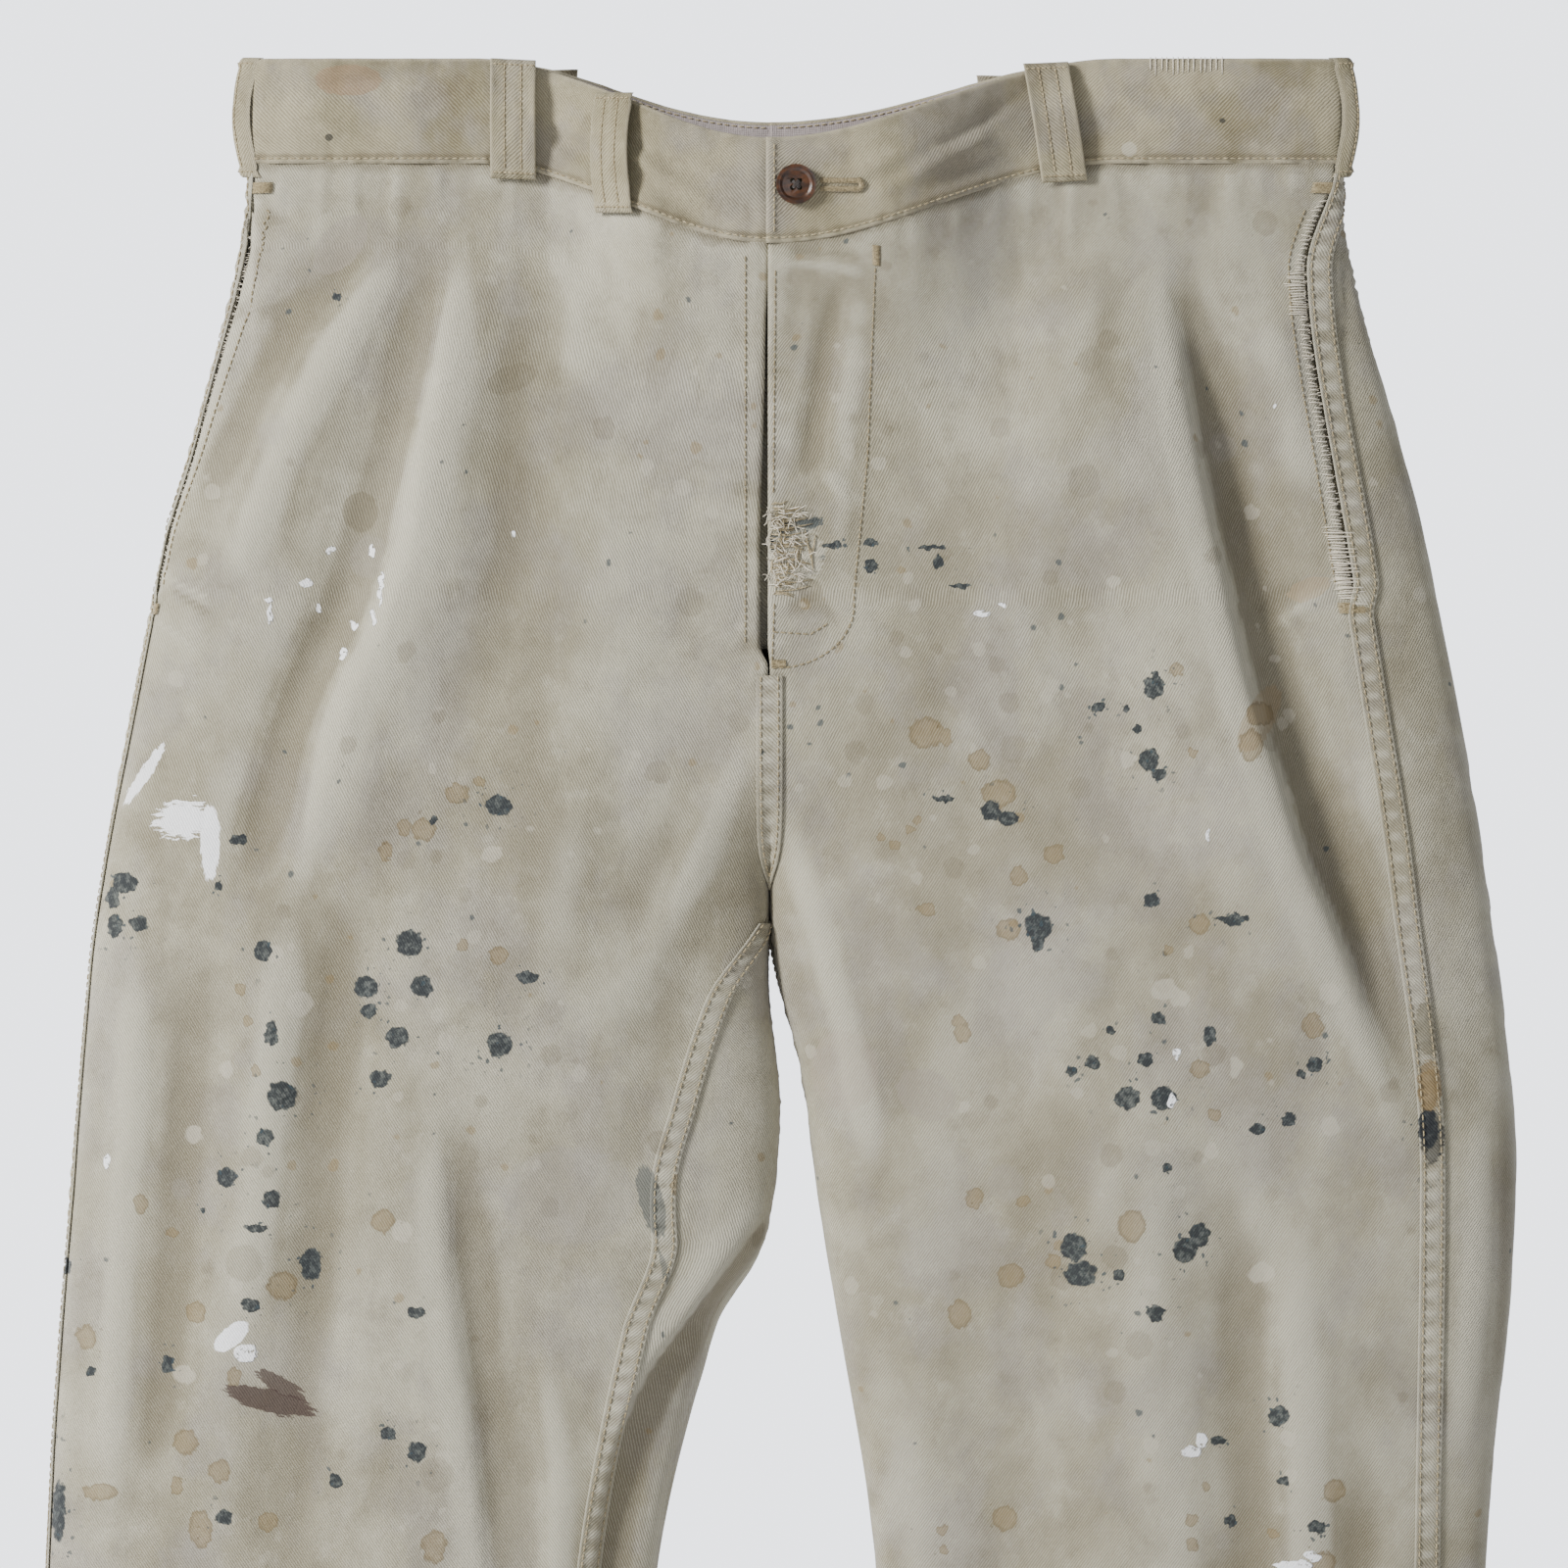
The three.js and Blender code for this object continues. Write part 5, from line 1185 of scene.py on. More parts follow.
# Creases of the waistband: x, and the depth below its top edge as z.
BAND_CREASES = [
    crease([(-226, -8), (-200, -12), (-172, -9), (-140, -4)], -1.5, 3.5, 5),
    crease([(-222, -26), (-196, -22), (-168, -25), (-146, -30)], 1.1, 5, 3.2),
    crease([(-214, -15), (-196, -16), (-176, -17)], 0.8, 2.5, 2.5),
    crease([(-204, -36), (-180, -33), (-150, -38)], -0.9, 3, 4),
    crease([(-132, -12), (-112, -19), (-92, -27), (-70, -31)], -1.7, 3, 5),
    crease([(-130, -22), (-108, -30), (-84, -36)], 1.3, 4, 2.8),
    crease([(-100, -8), (-80, -14), (-52, -20), (-24, -24)], -1.5, 3, 4.5),
    crease([(-94, -16), (-70, -23), (-42, -29), (-16, -33)], 1.3, 3.5, 2.6),
    crease([(-64, -35), (-44, -37), (-20, -36)], -0.8, 2.5, 2.5),
    crease([(12, -32), (40, -30), (70, -24), (98, -15)], 1.4, 3.5, 2.6),
    crease([(20, -25), (50, -21), (80, -14), (104, -7)], -1.6, 2.8, 4.5),
    crease([(40, -38), (66, -35), (92, -30)], -0.9, 2.6, 2.8),
    crease([(128, -6), (146, -14), (168, -20), (196, -22)], -1.5, 3, 4.5),
    crease([(130, -18), (152, -26), (180, -29), (212, -28)], 1.1, 3.5, 2.8),
    crease([(160, -9), (186, -11), (214, -8)], 0.9, 3, 3),
    crease([(200, -34), (212, -31), (224, -33)], -0.8, 3, 3),
]


def band_place(side, girth, below, lift, facing=False):
    """A place on the waistband, some way below its top edge."""
    g, below = np.broadcast_arrays(np.asarray(girth, float), np.asarray(below, float))
    base = skin(side, g, Z_BAND_MIDDLE)
    x = base[..., 0]
    sign = HALVES[side]["sign"]
    top = Z_SEAM - sag(HALVES[side], x * sign, g > 1) + BAND
    front = g < 1
    slack = 1 - ease((np.abs(x - CENTRE_X) - 84) / 34)
    crest = 21 + 5 * ease((x - 40) / 60)
    buckle = 1.2 * np.exp(-((below - crest) / 4.5) ** 2) - 1.0 * np.exp(-((below - crest - 9) / 6) ** 2)
    button_room = ease((np.abs(x) - 9) / 9)
    wave = 0.8 * soft_hills(x / 24 + 5 * (~front), below / 22) + 0.3 * small_hills(x / 9, below / 9)
    at_foot = 0.75 * gathers(x / 3.6, 3.3 + below / 60) * np.exp(-(BAND - below) / 4.0)
    at_top = 0.5 * gathers(x / 4.5, 9.1 + below / 60) * np.exp(-below / 3.5)
    pinched = sum(f(x, -below + 0 * x) for f in BAND_CREASES) * front
    relief = wave * 0.8 + (0 if facing else at_foot + at_top)
    relief = relief + (buckle * slack * button_room + pinched) * front
    lap = np.where(front, {"left": 1.5, "right": -1.3}[side], {"left": -0.5, "right": 0.6}[side])
    lap = lap * np.exp(-((x - CENTRE_X) / 3.5) ** 2)
    relief = relief * np.where(front, mix(0.2, 1, button_room), 1)
    height = relief * (0.8 if facing else 1) + lap + lift
    point = base + skin_normal(side, g, Z_BAND_MIDDLE) * height[..., None]
    point[..., 2] = top - below
    return point


def waistband(side):
    """Half of the waistband, its facing and its stitches. The halves lap by a little at both ends."""
    overlap = float(walked(side, 0.5, np.array(Z_SEAM), {"left": -BAND_LAP, "right": 0.0}[side]))
    end = float(walked(side, 1.5, np.array(Z_SEAM), {"left": 0.0, "right": BAND_LAP}[side]))
    g = spread(side, np.array([Z_SEAM]), np.array([overlap]), np.array([end]), 440)[0]
    across, lift = section(BAND, 2.3, 30, corner=1.6)
    rings = band_place(side, g[:, None], BAND / 2 - across[None, :], lift[None, :] - 0.3)
    shown = np.broadcast_to(across, rings.shape[:2])
    # lighter along the folded top and bottom edges
    relief_shade_and_wear = 0.9 * np.exp(-((BAND / 2 - np.abs(shown)) / 1.3) ** 2)
    # lighter and darker with the puckers at the foot: painted light and shade on them
    relief_shade_and_wear = relief_shade_and_wear + 0.9 * gathers(rings[..., 0] / 3.6, 3.3 + 0 * shown) * np.exp(-(BAND / 2 + shown) / 4)
    # a dark line just above the bottom edge, by the row of stitches: painted shade in the groove there
    relief_shade_and_wear = relief_shade_and_wear - 0.9 * np.exp(-((BAND / 2 + shown - 3.4) / 1.0) ** 2)
    relief_shade_and_wear = np.clip(relief_shade_and_wear, -1, 1)
    piece = strap(f"{side}_waistband_cloth", rings, band_twill, "band_twill", relief_shade_and_wear,
                  stands_for=[f"{side}_waistband"])
    across, lift = section(BAND - 3, 0.7, 16)
    rings = band_place(side, g[:, None], BAND / 2 - across[None, :], lift[None, :] - 2.4, facing=True)
    facing = strap(f"{side}_waistband_facing", rings, lining, "lining",
                   stands_for=[f"{side}_waistband_lining"])
    line = band_place(side, g, BAND - 2.2, 0.86)
    rows = [stitch_row(line, skin_normal(side, g, Z_BAND_MIDDLE))]
    inside = band_place(side, g, 2.6, -2.8, facing=True)
    rows.append(stitch_row(inside, -skin_normal(side, g, Z_BAND_MIDDLE)))
    if side == "left":
        end = np.linspace(2.6, BAND - 2.2, 40)
        start = girth_at("left", CENTRE_X + 2.0, np.full(40, Z_SEAM), False)
        rows.append(stitch_row(band_place("left", start, end, 0.86),
                               skin_normal("left", start, Z_BAND_MIDDLE)))
    sewn(f"{side}_waistband_stitching", rows)


def underlap():
    """The tab of the waistband behind the button."""
    low, high = corners("waistband_underlap")
    size = high - low
    across, lift = section(size[0], size[1], 16)
    z = np.linspace(high[2], low[2], 18)
    rings = np.stack(np.broadcast_arrays((low[0] + high[0]) / 2 + across[None, :],
                                         (low[1] + high[1]) / 2 - lift[None, :] + 0 * z[:, None],
                                         z[:, None] + 0 * across[None, :]), -1)
    rings[..., 1] += 0.3 * small_hills(rings[..., 0] / 8, rings[..., 2] / 9)
    piece = strap("waistband_underlap_cloth", rings, band_twill, "band_twill",
                  stands_for=["waistband_underlap"])


# ------------------------------------------------------------------ belt loops
LOOPS = {
    "right_front": ("right", 118, False, 0), "right_fly": ("right", 74, False, 0),
    "left_front": ("left", 108, False, 4), "left_side": ("left", None, False, 0),
    "right_side": ("right", None, False, 0), "right_back": ("right", 100, True, 0),
    "left_back": ("left", 84, True, 0),
}
LOOP_OVER, LOOP_BOW, LOOP_THICK = 6.0, 5.6, 1.7


def belt_loop(name):
    """A loop that bows away from the waistband, ribbed by its two rows of stitches."""
    side, out, back, slant = LOOPS[name]
    centre = 1.0 if out is None else float(girth_at(side, out, np.array(Z_SEAM), back))
    across, lift = section(LOOP_WIDTH, LOOP_THICK, 22, corner=0.9)
    t = np.linspace(0, 1, 64)
    shift = (across[None, :] + slant * (2 * t[:, None] - 1)) * (-1 if back else 1)
    reach = np.linspace(-LOOP_WIDTH, LOOP_WIDTH, 41)
    table = np.array([walked(side, centre, np.array(Z_SEAM), d, 30) for d in reach])
    g = np.interp(shift, reach, table)
    bow = LOOP_BOW * np.sin(np.pi * t) ** 0.6
    ribs = -0.42 * (np.exp(-((across - 3.1) / 0.8) ** 2) + np.exp(-((across + 3.1) / 0.8) ** 2)) * (lift > 0)
    lumps = 0.3 * small_hills(across[None, :] / 3, t[:, None] * 9)
    top = Z_SEAM - sag(HALVES[side], skin(side, centre, Z_SEAM)[..., 0] * HALVES[side]["sign"], back) + BAND
    point = skin(side, g, Z_BAND_MIDDLE)
    away = skin_normal(side, np.full_like(g, centre), Z_BAND_MIDDLE)
    ends = 0.9 * (ease((0.09 - t) / 0.03) + ease((t - 0.91) / 0.03))
    stand = 1.5 + bow[:, None] + ends[:, None] + lift[None, :] + ribs[None, :] + lumps
    rings = point + away * stand[..., None]
    rings[..., 2] = top + 0.8 - t[:, None] * (BAND + LOOP_OVER) + 0.05 * shift
    # lighter along the loop's edges, and darker in the grooves of the two stitch rows: painted shade there
    relief_shade_and_wear = 0.7 * np.exp(-((LOOP_WIDTH / 2 - np.abs(across)) / 0.9) ** 2) - 0.6 * (ribs < -0.2)
    # lighter down the raised middle between the rows: a painted highlight
    relief_shade_and_wear = relief_shade_and_wear + 0.4 * np.exp(-((across) / 1.4) ** 2)
    strap(f"{name}_loop", rings, band_twill, "band_twill", np.broadcast_to(relief_shade_and_wear, rings.shape[:2]),
          stands_for=[f"belt_loop_{name}"])
    front = np.arange(len(across))[lift >= 0]
    rows = []
    for place in (-3.1, 3.1):
        k = front[np.argmin(np.abs(across[front] - place))]
        rows.append(stitch_row(rings[3:-3, k] + away[3:-3, k] * 0.12, away[3:-3, k], 2.0, 0.6))
    for row in (3, -4):
        rows.append(stitch_row(rings[row, front[2:-2]] + away[row, front[2:-2]] * 0.1,
                               away[row, front[2:-2]], 1.8, 0.4))
    sewn(f"{name}_loop_stitching", rows)


# ------------------------------------------------------------------ seams
STRIP_MIDDLE = 0.8                                    # of a felled seam's strip, over the cloth's surface
SEAM_ROWS = (3.6, -3.6)                               # the two rows of stitches on it


def seam_strip(side, kind, z, ring_girth):
    """A felled seam: a strip of cloth sewn down by two rows, puckered between them."""
    name = f"{side}_{kind}_strip"
    across, lift = section(SEAM_WIDTH, 1.0, 16, corner=0.8)
    g = ring_girth(z[:, None], across[None, :])
    phase = z[:, None] / 8.2 * 2 * np.pi + 2.4 * gathers(z[:, None] / 31, 0.5)
    between = np.exp(-(across[None, :] / 3.2) ** 2)
    strength = 0.7 + 0.3 * soft_hills(z[:, None] / 47, 8.3)
    on_top = lift[None, :] > 0
    ripple = 0.5 * np.sin(phase) * between * strength * on_top
    groove = sum(np.exp(-((across[None, :] - row) / 0.7) ** 2) for row in SEAM_ROWS) * on_top
    height = STRIP_MIDDLE + lift[None, :] + ripple - 0.25 * groove
    rings = surface(side, g, np.broadcast_to(z[:, None], g.shape), height)
    # lighter on the ripples' crests and darker in their troughs: painted light and shade; darker in the two
    # stitch grooves: painted shade; a little lighter all over, and lighter along the folded edges
    relief_shade_and_wear = np.clip(0.95 * np.sin(phase) * between * strength + 0.15 - 0.6 * groove
                   + 0.6 * np.exp(-((SEAM_WIDTH / 2 - np.abs(across[None, :])) / 0.7) ** 2), -1, 1)
    strap(name, rings, twill[side], "twill", relief_shade_and_wear, stands_for=[f"{side}_{kind}"])
    rows = []
    for place in SEAM_ROWS:
        girth = ring_girth(z[:, None], np.array([[place]]))[:, 0]
        line = surface(side, girth, z, STRIP_MIDDLE + 0.62)
        rows.append(stitch_row(line, skin_normal(side, girth, z), 2.4, 0.9))
    sewn(f"{name}_stitching", rows)


def strip_rows(top):
    """Heights down a leg's seam, finer where the cloth has more folds."""
    return np.concatenate([np.arange(top, VISIBLE_FOOT, -1.3), np.linspace(VISIBLE_FOOT, Z_HEM + 0.5, 240)])


def beside(side, seam, z, shift):
    """Girths at the given distances from a seam, one row for each height."""
    shift = np.broadcast_to(shift, (len(z), shift.shape[1]))
    return np.stack([walked(side, seam, z, shift[:, k]) for k in range(shift.shape[1])], -1)


def outseam(side):
    z = strip_rows(Z_SEAM - 4)
    behind_mouth = 4.6 * ease((z - Z_MOUTH_FOOT + 4) / 16)

    def girth(height, across):
        column = height[:, 0]
        return beside(side, outseam_girth(side, column), column, across + behind_mouth[:, None])
    seam_strip(side, "outseam", z, girth)


def inseam(side):
    def girth(height, across):
        column = height[:, 0]
        return beside(side, inseam_girth(side, column), column, across)
    seam_strip(side, "inseam", strip_rows(Z_CROTCH - 7), girth)


def centre_strip(name, z, back, node, finish):
    """A felled seam between the two halves, on the front or the back."""
    across, lift = section(SEAM_WIDTH, 1.0, 15, corner=0.8)
    rings = np.zeros((len(z), len(across), 3))
    phase = z / 8.0 * 2 * np.pi + 2.0 * gathers(z / 31, 4.5)
    for k, (place, off) in enumerate(zip(across, lift)):
        side = "left" if place > 0 else "right"
        edge = centre_girth(z, back)
        g = walked(side, 2 - edge if back else edge, z, -abs(place) if back else abs(place))
        level = sagged(side, g, z)
        ripple = 0.35 * np.sin(phase) * math.exp(-(place / 3.2) ** 2) * (off > 0)
        rings[:, k] = surface(side, g, level, STRIP_MIDDLE + off + ripple)
    # lighter on the ripples' crests and darker in their troughs: painted light and shade
    relief_shade_and_wear = 0.7 * np.sin(phase)[:, None] * np.exp(-(across[None, :] / 3.2) ** 2)
    strap(name, rings, finish, "twill", relief_shade_and_wear, stands_for=[node])
    top = np.arange(len(across))[lift >= 0]
    rows = []
    for place in sorted(SEAM_ROWS):
        k = top[np.argmin(np.abs(across[top] - place))]
        way = np.gradient(rings[:, k], axis=0)
        up = np.cross(way, rings[:, top[-1]] - rings[:, top[0]])
        up *= np.sign((up * [0, 1 if back else -1, 0]).sum())
        up /= np.linalg.norm(up, axis=-1, keepdims=True)
        rows.append(stitch_row(rings[:, k] + up * 0.1, up, 2.4, 0.9))
    sewn(f"{name}_stitching", rows)


def hem(side):
    """The turned-up edge inside a leg's end, and the row that holds it."""
    z = np.linspace(Z_HEM + HEM_HEIGHT, Z_HEM + 0.4, 16)
    start = inseam_girth(side, z)
    g = spread(side, z, start, start + 2, 220)
    level = z[:, None] + 0 * g
    outer, inner = surface(side, g, level, -CUT - 0.5), surface(side, g, level, -CUT - 1.4)
    piece = cloth(f"{side}_hem_cloth", outer, inner, twill_back, "twill", stands_for=[f"{side}_hem"])
    line_z = np.full(400, Z_HEM + HEM_HEIGHT - 2.5)
    girth = np.linspace(start[0], start[0] + 2, 400)
    rows = [stitch_row(surface(side, girth, line_z, 0.08), skin_normal(side, girth, line_z))]
    sewn(f"{side}_hem_stitching", rows)


# ------------------------------------------------------------------ pockets
def inside(name, side, z, near, far, lift, thick, finish, slot, node, flat):
    """A sheet that lies inside the panels, follows their folds and hangs from z[0] to z[-1]."""
    g = spread(side, z, near, far, 46)
    level = sagged(side, g, z[:, None])
    loose = 0.5 * soft_hills(g * 9, level / 40)
    under = lift - abs(lift) * 0.12 * (1 + loose)
    piece = cloth(name, surface(side, g, level, under), surface(side, g, level, under - thick),
                  finish, slot, stands_for=[node])


def pocket_bag(side):
    """The bag hangs from the mouth and the waistband seam, one layer behind the front."""
    z = np.concatenate([np.arange(Z_SEAM - 12, Z_MOUTH_FOOT, -6.0),
                        np.linspace(Z_MOUTH_FOOT, Z_MOUTH_FOOT - 80, 16)])
    seam = walked(side, outseam_girth(side, z), z, -9)
    low = ease((Z_MOUTH_FOOT - z) / 80)
    near = walked(side, seam, z, -(92 + 24 * ease((Z_SEAM - z) / 120) - 60 * low ** 3), 24)
    inside(f"{side}_pocket_cloth", side, z, near, seam, -4.4, 0.8, pocketing, "lining",
           f"{side}_pocket_bag", (0.12, 0.26))


def pocket_facing(side):
    """The cloth that shows in the open mouth, sewn on the bag's back layer."""
    z = np.arange(Z_SEAM - 11, Z_MOUTH_FOOT - 1, -3.0)
    seam = walked(side, outseam_girth(side, z), z, 4)
    near = walked(side, seam, z, -36)
    inside(f"{side}_pocket_facing_cloth", side, z, near, seam, -2.4, 0.9, twill[side], "twill",
           f"{side}_pocket_facing", (0.04, 0.176))


def back_bag(side):
    """A back pocket's bag, with rounded lower corners."""
    sign = HALVES[side]["sign"]
    z = np.arange(Z_BACK_MOUTH + 12, Z_BACK_MOUTH - 160, -6.0)
    round_off = 16 * ease((Z_BACK_MOUTH - 130 - z) / 30)
    mouth = sign * CENTRE_X + BACK_MOUTH
    start = girth_at(side, mouth - 3 + round_off, z, True)
    end = girth_at(side, mouth + BACK_MOUTH_WIDTH + 1 - round_off, z, True)
    inside(f"{side}_back_pocket_cloth", side, z, start, end, -4.6, 0.8, pocketing, "lining",
           f"{side}_back_pocket_bag", (0.132, 0.17))


def back_welt(side):
    """Two folded edges that meet in the pocket's slit."""
    mouth = HALVES[side]["sign"] * CENTRE_X + BACK_MOUTH
    across, lift = section(6.4, 2.2, 12)
    t = np.linspace(-2, BACK_MOUTH_WIDTH + 2, 90)
    for name, way in (("upper", 1), ("lower", -1)):
        z = Z_BACK_MOUTH + way * 3.3 + across[None, :] + 0 * t[:, None]
        girth = girth_at(side, mouth + t[:, None] + 0 * z, z, True)
        rings = surface(side, girth, z, lift[None, :] - 0.2 + 0.15 * gathers(t[:, None] / 3.3, way))
        strap(f"{side}_back_welt_{name}", rings, twill_back, "twill",
              0.3 * small_hills(rings[..., 0] / 5, 2.2), stands_for=[f"{side}_back_welt"])
    rows = []
    for off in (8.4, -8.4):
        t = np.linspace(-4, BACK_MOUTH_WIDTH + 4, 80)
        z = np.full(80, Z_BACK_MOUTH + off)
        girth = girth_at(side, mouth + t, z, True)
        rows.append(stitch_row(surface(side, girth, z, 0.12), skin_normal(side, girth, z)))
    sewn(f"{side}_back_welt_stitching", rows)


# ------------------------------------------------------------------ fly
def on_front(side, path, lift=0.0, step=1.0):
    """Points and ways off the cloth along an (x, z) path over a front panel."""
    path = np.array(path, float)
    run = np.concatenate([[0], np.cumsum(np.linalg.norm(np.diff(path, axis=0), axis=-1))])
    places = np.arange(0, run[-1], step)
    x, z = np.interp(places, run, path[:, 0]), np.interp(places, run, path[:, 1])
    girth = girth_at(side, x * HALVES[side]["sign"], z, False)
    extra = fly_relief(side, x, z) + tuck(z)
    return surface(side, girth, z, extra + lift), skin_normal(side, girth, z)


def rounded_path(x_top, x_low, top, foot, radius):
    """A path down the front that turns towards the fly at its foot."""
    turn = np.linspace(0, np.pi / 2, 14)
    curve = [(x_low - radius * (1 - math.cos(a)) * 1.25, foot + radius - radius * math.sin(a)) for a in turn]
    return [(x_top, top), ((x_top + x_low) / 2 + 1, (top + foot) / 2), (x_low, foot + radius + 6)] + curve


def fly_front():
    """The curved row of the fly, the rows down its edges, and the tacks at its two ends."""
    curve = rounded_path(33, 24, Z_FLY_ROW_TOP, Z_FLY_ROW_FOOT, 26) + [(CENTRE_X, Z_FLY_ROW_FOOT)]
    rows = [stitch_row(*on_front("left", curve, 0.1), length=2.2, space=0.7)]
    for side, path in (
            ("left", [(CENTRE_X + 2.4, -90), (CENTRE_X + 1.6, -184)]),
            ("left", [(CENTRE_X + 2, -228), (CENTRE_X + 1, -254)]),
            ("left", [(CENTRE_X + 1, -240), (6, -241), (14, -236)]),
            ("right", [(CENTRE_X - 10, -84), (CENTRE_X - 10, -246)])):
        rows.append(stitch_row(*on_front(side, path, 0.1)))
    sewn("fly_stitching", rows, tan_thread)
    across_top = [[(31.5, -80 - k * 0.6), (35.5, -80.4 - k * 0.6)] for k in range(14)]
    down_foot = [[(-10 + k * 0.5, -251.5), (-10 + k * 0.5, -255.5)] for k in range(12)]
    tack = []
    for path in across_top + down_foot:
        points, ups = on_front("left", path, 0.2, 0.9)
        tack.append((bar(points[0], points[len(points) // 2], points[-1], ups[0]), ups[0]))
    hand_sewn("fly_tacks", tack, tan_thread, 0.7)


def flat_layer(name, node, finish, slot, waviness=0.3):
    """A flat piece inside the fly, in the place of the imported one."""
    low, high = corners(node)
    size = high - low
    across, lift = section(size[0], min(size[1], 1.2), 16)
    z = np.linspace(high[2], low[2], 60)
    corner = 14 * ease((low[2] + 22 - z) / 22) ** 2
    shape = 1 - corner / size[0]
    rings = np.stack(np.broadcast_arrays(low[0] + size[0] / 2 + across[None, :] * shape[:, None],
                                         (low[1] + high[1]) / 2 - lift[None, :] + 0 * z[:, None],
                                         z[:, None] + 0 * across[None, :]), -1)
    rings[..., 1] += waviness * small_hills(rings[..., 0] / 8, rings[..., 2] / 14)
    piece = strap(name, rings, finish, slot, stands_for=[node])


def five_of(points, ups):
    """A thread of five points along a row of them."""
    return points[np.linspace(0, len(points) - 1, THREAD_POINTS).astype(int)], ups[0]


def fly_darn():
    """The threadbare place at the fly's edge: crossed darning threads and loose ends."""
    rng = np.random.default_rng(23)
    bars = []
    for k in range(40):
        z = -186.5 - k * 0.98 + rng.uniform(-0.5, 0.5)
        start, reach = -11 + rng.uniform(0, 3), rng.uniform(4, 17)
        path = [(start, z), (start + reach / 2, z + rng.uniform(-1, 1)),
                (start + reach, z + rng.uniform(-2.4, 2.4))]
        bars.append(five_of(*on_front("left", path, 0.34, 1.0)))
    for k in range(14):
        x = -9.6 + k * 1.35 + rng.uniform(-0.6, 0.6)
        z = -192 - rng.uniform(0, 18)
        path = [(x, z), (x + rng.uniform(-2, 2), z - rng.uniform(4, 11))]
        bars.append(five_of(*on_front("left", path, 0.6, 1.0)))
    piece = hand_sewn("fly_darning", bars, thread, 0.55, "darning")
    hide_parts("fly_darn")
    loose = []
    for k in range(120):
        z = -188 - rng.uniform(0, 34)
        start = np.array([-11.5 + 17 * rng.uniform(0, 1) ** 1.4, -31.4, z])
        way = np.array([rng.uniform(-0.7, 1), rng.uniform(-0.55, -0.05), rng.uniform(-0.9, 0.7)])
        way *= rng.uniform(2.0, 7.5) / np.linalg.norm(way)
        bend = rng.uniform(-1, 1, 3) * 1.5
        t = np.linspace(0, 1, THREAD_POINTS)[:, None]
        loose.append((start + way * t + bend * np.sin(np.pi * t), np.array([0, -1, 0])))
    hand_sewn("fly_frayed_ends", loose, pale_thread, 0.42, "darning")


# ------------------------------------------------------------------ mending at the pockets
def mouth_edge(side, z, off=0.0, lift=0.1):
    """Points on the free edge of a front pocket."""
    girth = walked(side, outseam_girth(side, z), z, -(GAP / 2 + drawn_back(z)) - off)
    level = sagged(side, girth, z)
    return surface(side, girth, level, front_lift(side, girth, z) + lift), skin_normal(side, girth, z)


def pocket_darning():
    """Hand stitches over the left pocket's edge, thick in two places, and a frayed right edge."""
    rng = np.random.default_rng(31)
    heights = [Z_MOUTH_TOP - 6.0]
    while heights[-1] > Z_MOUTH_FOOT + 5:
        thick = -108 < heights[-1] < -90 or heights[-1] < -196
        heights.append(heights[-1] - (rng.uniform(0.7, 1.3) if thick else rng.uniform(1.3, 2.4)))
    z = np.array(heights)
    thick = ((z > -108) & (z < -90)) | (z < -196)
    reach = rng.uniform(2.2, 4.2, len(z)) + thick * rng.uniform(2.0, 4.4, len(z))
    inner, up = mouth_edge("left", z, reach, 0.35)
    outer, _ = mouth_edge("left", z + rng.uniform(-0.8, 0.8, len(z)), -0.4, 0.3)
    under, _ = mouth_edge("left", z, 0.3, -1.1)
    over = mix(inner, outer, 0.5) + up * 0.25
    paths = np.stack([inner, over, outer + up * 0.1, outer - up * 0.9, under], 1)
    bars = list(zip(paths, up))
    z = -228.0 + np.arange(15) * 2.1
    inner, up = mouth_edge("left", z, 6.5, 0.5)
    outer, _ = mouth_edge("left", z + rng.uniform(-1, 1, 15), -7.5, 0.9)
    for start, end, way in zip(inner, outer, up):
        bars.append((bar(start, mix(start, end, 0.5) + way * 0.5, end, way), way))
    hand_sewn("left_pocket_darning", bars, pale_thread, 0.62, "darning")
    ends = []
    for side, count in (("right", 190), ("left", 90)):
        z = rng.uniform(Z_MOUTH_FOOT + 6, Z_MOUTH_TOP - 20, count)
        begin, up = mouth_edge(side, z, 0.2, -0.3)
        beyond, _ = mouth_edge(side, z, -2.0, 0.2)
        for start, end, off in zip(begin, beyond, up):
            way = (end - start) * rng.uniform(0.3, 1.1)
            way += np.array([0, rng.uniform(-1, 0.4), rng.uniform(-0.9, 0.9)])
            t = np.linspace(0, 1, THREAD_POINTS)[:, None]
            ends.append((start + way * t + rng.uniform(-0.4, 0.4, 3) * np.sin(np.pi * t), off))
    hand_sewn("pocket_frayed_ends", ends, pale_thread, 0.3, "darning")
    ticks = []
    for k in range(14):
        x = 148 + k * 2.3 + rng.uniform(-0.4, 0.4)
        girth = float(girth_at("left", x, np.array(Z_SEAM), False))
        points = band_place("left", girth, np.array([-0.6, 0.4, 2.2, 4.0, 5.8 + rng.uniform(-1, 1.4)]), 1.05)
        ticks.append((points, skin_normal("left", girth, Z_BAND_MIDDLE)))
    hand_sewn("waistband_darning", ticks, pale_thread, 0.55, "darning")


